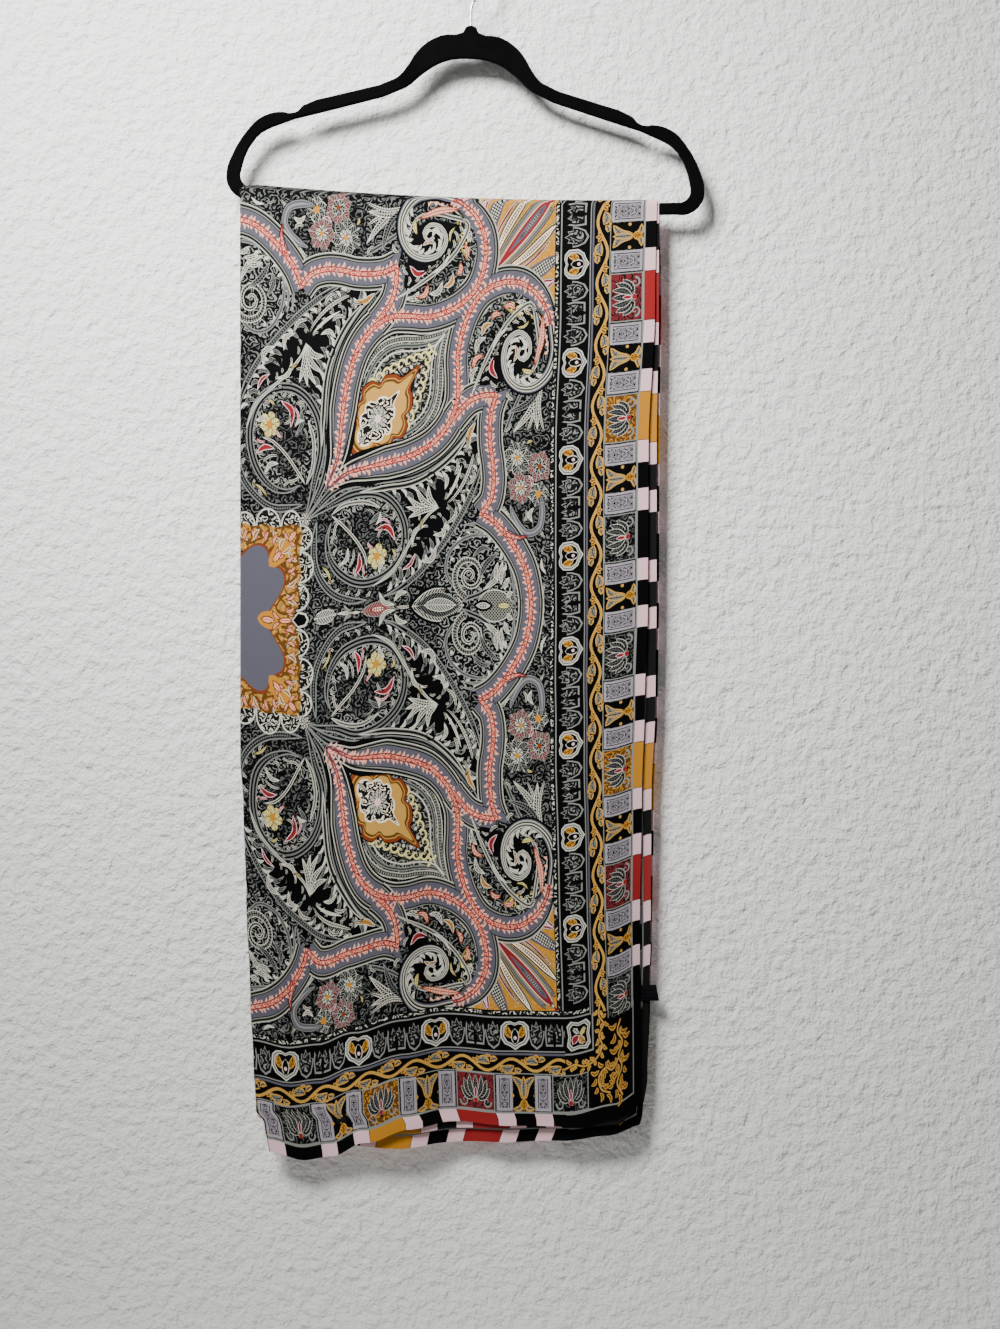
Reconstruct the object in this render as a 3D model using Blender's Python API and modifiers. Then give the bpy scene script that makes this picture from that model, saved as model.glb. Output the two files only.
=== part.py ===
"""An oblong shawl hung over the lower bar of a velvet coat hanger.

The shawl is one printed sheet, 0.80 m by 1.80 m. It is folded in half
lengthwise, right side out, and laid over the bar at the middle of its length,
so two layers fall in front of the bar and two behind it. Its fold hangs on the
left and its four corners meet at the lower right.

Metres, +Z up, the front faces -Y. The origin is the point inside the hook's
top where a rail carries the hanger. Depths are distances below that point.
"""

import math

import bmesh
import bpy
from mathutils import Matrix, Vector

# ---- hanger -----------------------------------------------------------------
NECK_DEPTH = 0.068              # top of the hanger's neck
HANGER_THICK = 0.0055           # velvet over a plastic core
HANGER_ROUNDING = 0.0020        # rounded edges of the body
HANGER_TILT = math.radians(2.05)    # the right shoulder hangs lower
OUTLINE_STEPS = 3               # curve steps between two outline points
SHARP_ANGLE = math.radians(50)
SOCKET_SIDES = 16
WELD = 0.00001

# Right half of the body's outline, in its own upright frame: distance from
# the middle and distance below the neck's top.
OUTER_OUTLINE = (
    (0.0000, 0.0000),           # neck
    (0.0045, 0.0014),
    (0.0076, 0.0066),
    (0.0273, 0.0099),           # arch
    (0.0463, 0.0222),
    (0.0618, 0.0452),
    (0.0690, 0.0516),
    (0.1120, 0.0660),           # arm
    (0.1530, 0.0794),
    (0.1584, 0.0850),           # strap notch
    (0.1668, 0.0872),
    (0.1715, 0.0862),
    (0.1898, 0.0907),           # shoulder end
    (0.2019, 0.1014),
    (0.2195, 0.1324),
    (0.22225, 0.1445),
    (0.2204, 0.1565),
    (0.2084, 0.1676),
    (0.1950, 0.1686),           # underside of the bar
    (0.1000, 0.1726),
    (0.0000, 0.1740),
)
INNER_OUTLINE = (
    (0.0000, 0.0306),           # underside of the arch
    (0.0250, 0.0347),
    (0.0426, 0.0458),
    (0.0583, 0.0593),
    (0.1204, 0.0810),           # arm
    (0.1806, 0.1005),
    (0.1954, 0.1107),           # inside of the shoulder end
    (0.2088, 0.1417),
    (0.2088, 0.1500),
    (0.2028, 0.1566),
    (0.1950, 0.1576),           # top of the bar
    (0.1000, 0.1616),
    (0.0000, 0.1630),
)
BAR_TOP_END = 0.1574            # depth of the bar's top below the neck, at its ends
BAR_SAG = 0.0056                # how much lower it is in the middle
BAR_HALF_SPAN = 0.200

# ---- hook -------------------------------------------------------------------
WIRE_RADIUS = 0.0014
HOOK_INNER_RADIUS = 0.020
HOOK_START = math.radians(-65)  # where the stem joins the hook's circle
HOOK_END = math.radians(208)
HOOK_STEPS = 26
STEM_TOP_DEPTH = 0.056          # where the straight stem starts to bend
STEM_SOCKET = 0.012             # how far the stem reaches into the neck
STRAIGHT_STEPS = 3
STEM_STEPS = 8
STEM_EASE = 0.55                # how stiffly the stem holds its direction in the bend

# ---- cloth ------------------------------------------------------------------
CLOTH = 0.0010                  # wall of each layer
GAP = 0.0003                    # between touching pieces
BEND_INNER = 0.0037             # middle of the inner layer as it rounds the bar
BEND_PITCH = 0.0015             # from the inner layer to the outer one there
BEND_DROP = 0.0022              # axis of the bend below the bar's top
FALL_INNER = 0.0019             # the same two sizes lower down the falls
FALL_PITCH = 0.0033
LEAVES_BAR = 0.246              # depth where the falls are clear of the bar
FULL_PITCH = 0.400              # depth where they have closed up behind it
OVER_BAR_LEFT = -0.2000         # the fold, on top of the bar

LAYER_STEPS = 17                # faces across one layer
FOLD_STEPS = 4                  # faces round the fold
FALL_STEPS = 18                 # faces down a fall
BEND_STEPS = 8                  # faces round the bar

# How far the cloth swings out of its plane: amplitude, waves in the width,
# phase, and the depth over which each soft fold grows from nothing.
SOFT_FOLDS = (
    # amplitude, waves, phase, starts, full
    (0.0048, 2.15, 0.10, 0.30, 1.08),
    (0.0026, 3.70, 0.62, 0.45, 1.10),
    (0.0012, 6.10, 0.35, 0.75, 1.10),
)

# The fold's distance from the middle, at each depth, for both pairs.
FOLD_LINE = (
    # depth, front, back
    (0.2200, -0.2141, -0.2136),
    (0.7500, -0.2141, -0.2134),
    (0.7870, -0.2114, -0.2110),
    (0.8800, -0.2086, -0.2082),
    (0.9730, -0.2049, -0.2045),
    (1.0280, -0.2021, -0.2019),
    (1.0760, -0.1996, -0.1996),
    (1.0860, -0.1919, -0.1992),
    (1.1220, -0.1863, -0.1990),
)

# The long edges' distance from the middle, at each depth.
LONG_EDGES = (
    # depth, front outer, front inner, back inner, back outer
    (0.2200, 0.1724, 0.1743, 0.1752, 0.1733),
    (0.3240, 0.1706, 0.1743, 0.1770, 0.1745),
    (0.4630, 0.1645, 0.1724, 0.1752, 0.1730),
    (0.6020, 0.1641, 0.1724, 0.1750, 0.1726),
    (0.6950, 0.1613, 0.1715, 0.1740, 0.1715),
    (0.7870, 0.1585, 0.1678, 0.1706, 0.1690),
    (0.9080, 0.1567, 0.1673, 0.1690, 0.1670),
    (0.9730, 0.1567, 0.1659, 0.1672, 0.1655),
    (1.0470, 0.1567, 0.1641, 0.1645, 0.1630),
    (1.0760, 0.1567, 0.1600, 0.1600, 0.1595),
    (1.1220, 0.1567, 0.1590, 0.1440, 0.1480),
)

# Depth of each layer's hem, across the width from the fold to the long edge.
HEMS = (
    # share of the width, front outer, front inner, back inner, back outer
    (0.00, 1.1140, 1.1120, 1.0840, 1.0840),
    (0.09, 1.1218, 1.1080, 1.0860, 1.0870),
    (0.16, 1.1190, 1.1050, 1.0930, 1.0940),
    (0.26, 1.1040, 1.1000, 1.1090, 1.1030),
    (0.38, 1.0914, 1.0960, 1.1110, 1.1040),
    (0.48, 1.0862, 1.0932, 1.1070, 1.1010),
    (0.64, 1.0895, 1.0925, 1.1065, 1.0990),
    (0.78, 1.0895, 1.0914, 1.1045, 1.0970),
    (0.90, 1.0800, 1.0880, 1.0990, 1.0930),
    (1.00, 1.0682, 1.0690, 1.0900, 1.0840),
)
FRONT_OUTER, FRONT_INNER, BACK_INNER, BACK_OUTER = 1, 2, 3, 4
FRONT_FOLD, BACK_FOLD = 1, 2
FOLDED_WIDTH = 0.386            # of the pair, from the fold to the long edges

# ---- label tab --------------------------------------------------------------
TAB_ROOT = 0.1510               # hidden root, between the two front layers
TAB_TIP = 0.1722
TAB_TOP_DEPTH = 0.9600
TAB_WIDE = 0.0148
TAB_SKEW = 0.20                 # its free end leans outwards
TAB_STEPS = (5, 3)


def smooth(low, high, value):
    """Ease from 0 at low to 1 at high."""
    share = min(1.0, max(0.0, (value - low) / (high - low)))
    return share * share * (3.0 - 2.0 * share)


def read_table(table, key, column):
    """Value of a column at a key, eased between the table's rows."""
    if key <= table[0][0]:
        return table[0][column]
    for above, below in zip(table, table[1:]):
        if key <= below[0]:
            share = smooth(above[0], below[0], key)
            return above[column] + share * (below[column] - above[column])
    return table[-1][column]


def make_material(name, colour, roughness, metallic=0.0):
    material = bpy.data.materials.new(name)
    material.use_nodes = True
    shader = material.node_tree.nodes["Principled BSDF"]
    shader.inputs["Base Color"].default_value = (*colour, 1.0)
    shader.inputs["Roughness"].default_value = roughness
    shader.inputs["Metallic"].default_value = metallic
    return material


def add_object(name, data, collection, material):
    item = bpy.data.objects.new(name, data)
    data.materials.append(material)
    collection.objects.link(item)
    return item


def mesh_from_curve(curve, collection):
    """The closed, welded mesh of a curve with caps."""
    source = bpy.data.objects.new("source", curve)
    collection.objects.link(source)
    bpy.context.view_layer.update()
    evaluated = source.evaluated_get(bpy.context.evaluated_depsgraph_get())
    mesh = bpy.data.meshes.new_from_object(evaluated)
    bpy.data.objects.remove(source)
    welded = bmesh.new()
    welded.from_mesh(mesh)
    bmesh.ops.remove_doubles(welded, verts=welded.verts, dist=WELD)
    welded.to_mesh(mesh)
    welded.free()
    return mesh


def mesh_from_grid(name, rows):
    """A mesh of quads through rows of points of equal length."""
    width = len(rows[0])
    points = [point for row in rows for point in row]
    faces = []
    for first in range(0, len(points) - width, width):
        for corner in range(first, first + width - 1):
            faces.append((corner, corner + width, corner + width + 1, corner + 1))
    mesh = bpy.data.meshes.new(name)
    mesh.from_pydata(points, [], faces)
    mesh.shade_smooth()
    return mesh


def add_cloth(name, rows, collection, material):
    """A sheet through a grid of points, with its wall half on each side."""
    item = add_object(name, mesh_from_grid(name, rows), collection, material)
    wall = item.modifiers.new("wall", "SOLIDIFY")
    wall.thickness = CLOTH
    wall.offset = 0.0
    wall.use_even_offset = True
    return item


# ---- hanger -----------------------------------------------------------------
def add_outline(curve, half):
    """Add a closed spline from the right half of an outline and its mirror."""
    left = [(-x, depth) for x, depth in half[1:-1]]
    points = list(half) + left[::-1]
    spline = curve.splines.new("BEZIER")
    spline.bezier_points.add(len(points) - 1)
    for knot, (x, depth) in zip(spline.bezier_points, points):
        knot.co = (x, -depth, 0.0)
        knot.handle_left_type = "AUTO"
        knot.handle_right_type = "AUTO"
    spline.use_cyclic_u = True
    spline.resolution_u = OUTLINE_STEPS


def make_hanger(collection, cutters):
    curve = bpy.data.curves.new("hanger_outline", "CURVE")
    curve.dimensions = "2D"
    curve.fill_mode = "BOTH"
    curve.extrude = HANGER_THICK / 2 - HANGER_ROUNDING
    curve.bevel_depth = HANGER_ROUNDING
    curve.bevel_resolution = 1
    curve.offset = -HANGER_ROUNDING
    add_outline(curve, OUTER_OUTLINE)
    add_outline(curve, INNER_OUTLINE)
    mesh = mesh_from_curve(curve, collection)
    mesh.shade_smooth()
    mesh.set_sharp_from_angle(angle=SHARP_ANGLE)
    velvet = make_material("black_velvet", (0.012, 0.012, 0.013), 0.95)
    body = add_object("hanger_body", mesh, collection, velvet)
    body.location = (0.0, 0.0, -NECK_DEPTH)
    stand_up = Matrix.Rotation(math.radians(90), 3, "X")
    body.rotation_euler = (Matrix.Rotation(HANGER_TILT, 3, "Y") @ stand_up).to_euler()
    socket = body.modifiers.new("hook_socket", "BOOLEAN")
    socket.operation = "DIFFERENCE"
    socket.object = make_socket_cutter(cutters)
    return body


def make_socket_cutter(cutters):
    """The upright hole that the hook's stem turns in."""
    bpy.ops.mesh.primitive_cylinder_add(
        vertices=SOCKET_SIDES,
        radius=WIRE_RADIUS + GAP,
        depth=2 * (STEM_SOCKET + GAP),
        location=(0.0, 0.0, -NECK_DEPTH),
    )
    cutter = bpy.context.object
    cutter.name = "socket_cutter"
    for holder in list(cutter.users_collection):
        holder.objects.unlink(cutter)
    cutters.objects.link(cutter)
    cutter.display_type = "WIRE"
    cutter.hide_render = True
    return cutter


# ---- hook -------------------------------------------------------------------
def hook_path():
    """Points up the stem, through its bend and round the hook."""
    radius = HOOK_INNER_RADIUS + WIRE_RADIUS
    centre = Vector((0.0, 0.0, -HOOK_INNER_RADIUS))
    low_end = Vector((0.0, 0.0, -NECK_DEPTH - STEM_SOCKET))
    stem_top = Vector((0.0, 0.0, -STEM_TOP_DEPTH))
    join = centre + radius * Vector((math.cos(HOOK_START), 0.0, math.sin(HOOK_START)))
    leaving = Vector((-math.sin(HOOK_START), 0.0, math.cos(HOOK_START)))
    points = [low_end.lerp(stem_top, step / STRAIGHT_STEPS) for step in range(STRAIGHT_STEPS)]
    reach = (join - stem_top).length
    for step in range(STEM_STEPS):
        share = step / STEM_STEPS
        up = stem_top + Vector((0.0, 0.0, reach * share * STEM_EASE))
        back = join - leaving * (reach * (1.0 - share) * STEM_EASE)
        points.append(up.lerp(back, share * share * (3.0 - 2.0 * share)))
    for step in range(HOOK_STEPS + 1):
        angle = HOOK_START + (HOOK_END - HOOK_START) * step / HOOK_STEPS
        points.append(centre + radius * Vector((math.cos(angle), 0.0, math.sin(angle))))
    return points


def make_hook(collection):
    curve = bpy.data.curves.new("hook_wire", "CURVE")
    curve.dimensions = "3D"
    curve.bevel_depth = WIRE_RADIUS
    curve.bevel_resolution = 2
    curve.use_fill_caps = True
    path = hook_path()
    spline = curve.splines.new("POLY")
    spline.points.add(len(path) - 1)
    for knot, point in zip(spline.points, path):
        knot.co = (*point, 1.0)
    steel = make_material("hook_steel", (0.62, 0.63, 0.65), 0.25, 1.0)
    return add_object("hanger_hook", curve, collection, steel)


# ---- cloth ------------------------------------------------------------------
def bend_axis_depth(x):
    """Depth of the line that the cloth bends round, on top of the bar."""
    along = (x + BAR_TOP_END * math.sin(HANGER_TILT)) / math.cos(HANGER_TILT)
    share = max(-1.0, min(1.0, along / BAR_HALF_SPAN))
    drop = BAR_TOP_END + BAR_SAG * (1.0 - share * share)
    slope = along * math.sin(HANGER_TILT)
    return NECK_DEPTH + drop * math.cos(HANGER_TILT) + slope + BEND_DROP


def swing(x, depth):
    """How far the soft upright folds carry the cloth towards +Y."""
    fold_x = read_table(FOLD_LINE, depth, 1)
    across = (x - fold_x) / FOLDED_WIDTH
    total = 0.0
    for amplitude, waves, phase, starts, full in SOFT_FOLDS:
        growth = smooth(starts, full, depth)
        total += amplitude * growth * math.sin(math.tau * (waves * across + phase))
    return total


def stations():
    """Section of the folded pair, from the inner long edge round to the outer.

    Each is (is outer, share of the width from the fold, angle round the fold).
    """
    quarter = math.pi / 2
    across = [step / LAYER_STEPS for step in range(LAYER_STEPS + 1)]
    inner = [(False, share, -quarter) for share in reversed(across)]
    turn = [-quarter + math.pi * step / FOLD_STEPS for step in range(1, FOLD_STEPS)]
    fold = [(angle > 0.0, 0.0, angle) for angle in turn]
    outer = [(True, share, quarter) for share in across]
    return inner + fold + outer


def fall_rows(inner_layer, outer_layer, fold_column, side):
    """Points of one folded fall; side is -1 in front and +1 behind."""
    rows = []
    for step in range(FALL_STEPS + 1):
        row = []
        for is_outer, share, angle in stations():
            layer = outer_layer if is_outer else inner_layer
            edge_x = read_table(LONG_EDGES, 0.0, layer)
            fold_x = read_table(FOLD_LINE, 0.0, fold_column)
            top = bend_axis_depth(fold_x + share * (edge_x - fold_x)) + GAP / 2
            hem = read_table(HEMS, share, layer)
            depth = top + (hem - top) * step / FALL_STEPS
            closing = smooth(LEAVES_BAR, FULL_PITCH, depth)
            inner = BEND_INNER + closing * (FALL_INNER - BEND_INNER)
            radius = (BEND_PITCH + closing * (FALL_PITCH - BEND_PITCH)) / 2
            edge_x = read_table(LONG_EDGES, depth, layer)
            fold_x = read_table(FOLD_LINE, depth, fold_column) + radius
            x = fold_x + share * (edge_x - fold_x) - radius * math.cos(angle)
            out = inner + radius + radius * math.sin(angle)
            row.append((x, side * out + swing(x, depth), -depth))
        rows.append(row)
    return rows


def bend_rows():
    """Points of the folded pair where it rounds the bar, front to back."""
    rows = []
    radius = BEND_PITCH / 2
    for step in range(BEND_STEPS + 1):
        turn = step / BEND_STEPS
        row = []
        for is_outer, share, angle in stations():
            front, back = (FRONT_OUTER, BACK_OUTER) if is_outer else (FRONT_INNER, BACK_INNER)
            front_x = read_table(LONG_EDGES, 0.0, front)
            back_x = read_table(LONG_EDGES, 0.0, back)
            edge_x = front_x + turn * (back_x - front_x)
            fold_x = OVER_BAR_LEFT + radius
            x = fold_x + share * (edge_x - fold_x) - radius * math.cos(angle)
            reach = BEND_INNER + radius + radius * math.sin(angle)
            rise = reach * math.sin(math.pi * turn) + GAP / 2
            row.append((x, -reach * math.cos(math.pi * turn), rise - bend_axis_depth(x)))
        rows.append(row)
    return rows


def make_shawl(collection):
    print_cloth = make_material("printed_cloth", (0.16, 0.15, 0.14), 0.55)
    front = fall_rows(FRONT_INNER, FRONT_OUTER, FRONT_FOLD, -1.0)
    back = fall_rows(BACK_INNER, BACK_OUTER, BACK_FOLD, 1.0)
    add_cloth("shawl_front_fall", front, collection, print_cloth)
    add_cloth("shawl_over_bar", bend_rows(), collection, print_cloth)
    add_cloth("shawl_back_fall", back, collection, print_cloth)


def make_label_tab(collection):
    """A plain satin tab, its root hidden between the two front layers."""
    behind_outer = FALL_INNER + FALL_PITCH - CLOTH - GAP
    rows = []
    for down in range(TAB_STEPS[1] + 1):
        depth = TAB_TOP_DEPTH + TAB_WIDE * down / TAB_STEPS[1]
        tip = TAB_TIP + TAB_SKEW * (depth - TAB_TOP_DEPTH)
        row = []
        for along in range(TAB_STEPS[0] + 1):
            x = TAB_ROOT + (tip - TAB_ROOT) * along / TAB_STEPS[0]
            row.append((x, swing(x, depth) - behind_outer, -depth))
        rows.append(row)
    satin = make_material("black_satin", (0.015, 0.014, 0.018), 0.35)
    add_cloth("label_tab", rows, collection, satin)


def main():
    for item in list(bpy.data.objects):
        bpy.data.objects.remove(item)
    collection = bpy.data.collections.new("shawl_on_hanger")
    cutters = bpy.data.collections.new("cutters")
    bpy.context.scene.collection.children.link(collection)
    bpy.context.scene.collection.children.link(cutters)
    make_hanger(collection, cutters)
    make_hook(collection)
    make_shawl(collection)
    make_label_tab(collection)


main()
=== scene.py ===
"""A printed oblong shawl, folded lengthwise and hung over the bar of a coat hanger.

The cloth is one sheet. Its print is drawn here as vector shapes in the sheet's
flat coordinates, triangulated together with the cloth, and then laid on the
form that the solids have. Metres, +Z up, the front faces -Y. Lengths on the
flat sheet are in millimetres.
"""

import math

import bpy
import numpy as np
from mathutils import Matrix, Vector
from mathutils.geometry import delaunay_2d_cdt


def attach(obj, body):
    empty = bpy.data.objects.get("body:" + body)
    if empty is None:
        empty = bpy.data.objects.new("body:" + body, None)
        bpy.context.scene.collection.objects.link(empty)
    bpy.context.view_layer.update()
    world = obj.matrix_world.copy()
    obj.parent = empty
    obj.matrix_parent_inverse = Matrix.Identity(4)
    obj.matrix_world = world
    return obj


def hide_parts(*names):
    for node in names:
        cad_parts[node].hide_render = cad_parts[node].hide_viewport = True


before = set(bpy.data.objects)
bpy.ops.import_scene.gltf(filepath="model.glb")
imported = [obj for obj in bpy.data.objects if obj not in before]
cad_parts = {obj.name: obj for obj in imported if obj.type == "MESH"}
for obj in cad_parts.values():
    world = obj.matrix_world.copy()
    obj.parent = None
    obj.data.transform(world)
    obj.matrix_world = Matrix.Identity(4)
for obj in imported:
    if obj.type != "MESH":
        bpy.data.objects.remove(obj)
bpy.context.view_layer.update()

# ---- the form of the solids, repeated from part.py ---------------------------
NECK_DEPTH = 0.068
HANGER_TILT = math.radians(2.05)
BAR_TOP_END = 0.1574
BAR_SAG = 0.0056
BAR_HALF_SPAN = 0.200
BEND_INNER = 0.0037
BEND_PITCH = 0.0015
BEND_DROP = 0.0022
FALL_INNER = 0.0019
FALL_PITCH = 0.0033
LEAVES_BAR = 0.246
FULL_PITCH = 0.400
OVER_BAR_LEFT = -0.2000
SOFT_FOLDS = (
    # amplitude, waves, phase, starts, full
    (0.0048, 2.15, 0.10, 0.30, 1.08),
    (0.0026, 3.70, 0.62, 0.45, 1.10),
    (0.0012, 6.10, 0.35, 0.75, 1.10),
)
FOLD_LINE = (
    # depth, front, back
    (0.2200, -0.2141, -0.2136),
    (0.7500, -0.2141, -0.2134),
    (0.7870, -0.2114, -0.2110),
    (0.8800, -0.2086, -0.2082),
    (0.9730, -0.2049, -0.2045),
    (1.0280, -0.2021, -0.2019),
    (1.0760, -0.1996, -0.1996),
    (1.0860, -0.1919, -0.1992),
    (1.1220, -0.1863, -0.1990),
)
LONG_EDGES = (
    # depth, front outer, front inner, back inner, back outer
    (0.2200, 0.1724, 0.1743, 0.1752, 0.1733),
    (0.3240, 0.1706, 0.1743, 0.1770, 0.1745),
    (0.4630, 0.1645, 0.1724, 0.1752, 0.1730),
    (0.6020, 0.1641, 0.1724, 0.1750, 0.1726),
    (0.6950, 0.1613, 0.1715, 0.1740, 0.1715),
    (0.7870, 0.1585, 0.1678, 0.1706, 0.1690),
    (0.9080, 0.1567, 0.1673, 0.1690, 0.1670),
    (0.9730, 0.1567, 0.1659, 0.1672, 0.1655),
    (1.0470, 0.1567, 0.1641, 0.1645, 0.1630),
    (1.0760, 0.1567, 0.1600, 0.1600, 0.1595),
    (1.1220, 0.1567, 0.1590, 0.1440, 0.1480),
)
HEMS = (
    # share of the width, front outer, front inner, back inner, back outer
    (0.00, 1.1140, 1.1120, 1.0840, 1.0840),
    (0.09, 1.1218, 1.1080, 1.0860, 1.0870),
    (0.16, 1.1190, 1.1050, 1.0930, 1.0940),
    (0.26, 1.1040, 1.1000, 1.1090, 1.1030),
    (0.38, 1.0914, 1.0960, 1.1110, 1.1040),
    (0.48, 1.0862, 1.0932, 1.1070, 1.1010),
    (0.64, 1.0895, 1.0925, 1.1065, 1.0990),
    (0.78, 1.0895, 1.0914, 1.1045, 1.0970),
    (0.90, 1.0800, 1.0880, 1.0990, 1.0930),
    (1.00, 1.0682, 1.0690, 1.0900, 1.0840),
)
FRONT_OUTER, FRONT_INNER, BACK_INNER, BACK_OUTER = 1, 2, 3, 4
FOLDED_WIDTH = 0.386
CLOTH = 0.0010
GAP = 0.0003
TAB_ROOT = 0.1510
TAB_TIP = 0.1722
TAB_TOP_DEPTH = 0.9600
TAB_WIDE = 0.0148
TAB_SKEW = 0.20

# ---- the flat sheet, mm ------------------------------------------------------
HALF_WIDTH = 400.0
HALF_LENGTH = 900.0
FOLD_AT = 11.0              # the fold's distance from the sheet's centre-line
FOLD_ARC = 2.6              # cloth in a quarter turn of the fold
PANEL_WIDE = 313.0          # half width of the two figured panels
PANEL_UP = 391.0            # from each one's middle towards the bar
PANEL_DOWN = 406.0          # and towards the hem
PANEL_MIDDLE = 384.5        # its middle, from the sheet's mid-length
DRIFT_AT_FOLD = -10.0       # how far the sheet has slid over the bar, at its fold
DRIFT_AT_EDGE = 10.0        # and at its long edges
UPPER_STRETCH = 0.065       # the upper part hangs stretched by this much
EDGE_TURN = 0.39            # near the hem the long edge turns away from the front
CREASES = (
    # x, its drift with depth, from depth, to depth, half width, height towards the wall
    (-0.150, 0.010, 0.34, 0.92, 0.012, 0.0012),
    (-0.098, -0.020, 0.55, 1.12, 0.010, -0.0011),
    (-0.060, 0.015, 0.30, 0.70, 0.014, -0.0010),
    (-0.012, 0.030, 0.62, 1.12, 0.011, 0.0014),
    (0.030, -0.012, 0.30, 0.86, 0.010, 0.0009),
    (0.078, -0.030, 0.50, 1.12, 0.009, -0.0013),
    (0.112, 0.006, 0.36, 1.00, 0.007, 0.0013),
    (0.128, -0.022, 0.74, 1.12, 0.006, -0.0014),
    (0.146, -0.010, 0.30, 0.80, 0.008, -0.0009),
)
GRID = 8.0                  # largest step between mesh points
SMALLEST_AREA = 0.01        # shapes below this are left out, square mm
SHELL = 0.00030             # thickness of the printed cloth
HEM_EXTRA = 0.00045         # and of its turned-in hem on top of that
HEM_WIDE = 7.0
MM = 0.001
UNIT = 3.5                  # mean size of one hundredth of a panel, mm


def smooth(low, high, value):
    share = np.clip((value - low) / (high - low), 0.0, 1.0)
    return share * share * (3.0 - 2.0 * share)


def read_table(table, key, column):
    """Values of a column at the keys, eased between the table's rows."""
    rows = np.array(table)
    key = np.clip(key, rows[0, 0], rows[-1, 0])
    index = np.clip(np.searchsorted(rows[:, 0], key, side="right") - 1, 0, len(rows) - 2)
    low, high = rows[index, 0], rows[index + 1, 0]
    share = smooth(low, high, key)
    return rows[index, column] + share * (rows[index + 1, column] - rows[index, column])


def bend_axis_depth(x):
    along = (x + BAR_TOP_END * math.sin(HANGER_TILT)) / math.cos(HANGER_TILT)
    share = np.clip(along / BAR_HALF_SPAN, -1.0, 1.0)
    drop = BAR_TOP_END + BAR_SAG * (1.0 - share * share)
    slope = along * math.sin(HANGER_TILT)
    return NECK_DEPTH + drop * math.cos(HANGER_TILT) + slope + BEND_DROP


def swing(x, depth):
    across = (x - read_table(FOLD_LINE, depth, 1)) / FOLDED_WIDTH
    total = np.zeros_like(across)
    for amplitude, waves, phase, starts, full in SOFT_FOLDS:
        total += amplitude * smooth(starts, full, depth) * np.sin(math.tau * (waves * across + phase))
    return total


def hang(x, depth):
    """How far the whole bundle of layers stands off its middle plane."""
    total = swing(x, depth)
    for middle, drift, start, end, half, height in CREASES:
        across = (x - middle - drift * (depth - start)) / half
        lasting = smooth(start, start + 0.14, depth) * (1.0 - smooth(end - 0.12, end, depth))
        total += height * np.exp(-across * across) * lasting
    return total


def drift_at(share):
    """How far the sheet has slid forward over the bar, mm."""
    return DRIFT_AT_FOLD + (DRIFT_AT_EDGE - DRIFT_AT_FOLD) * share


def pick(outer, front, table, key):
    """A table's value for the layer that each point lies on."""
    ahead = np.where(outer, read_table(table, key, FRONT_OUTER), read_table(table, key, FRONT_INNER))
    behind = np.where(outer, read_table(table, key, BACK_OUTER), read_table(table, key, BACK_INNER))
    return np.where(front, ahead, behind)


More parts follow.
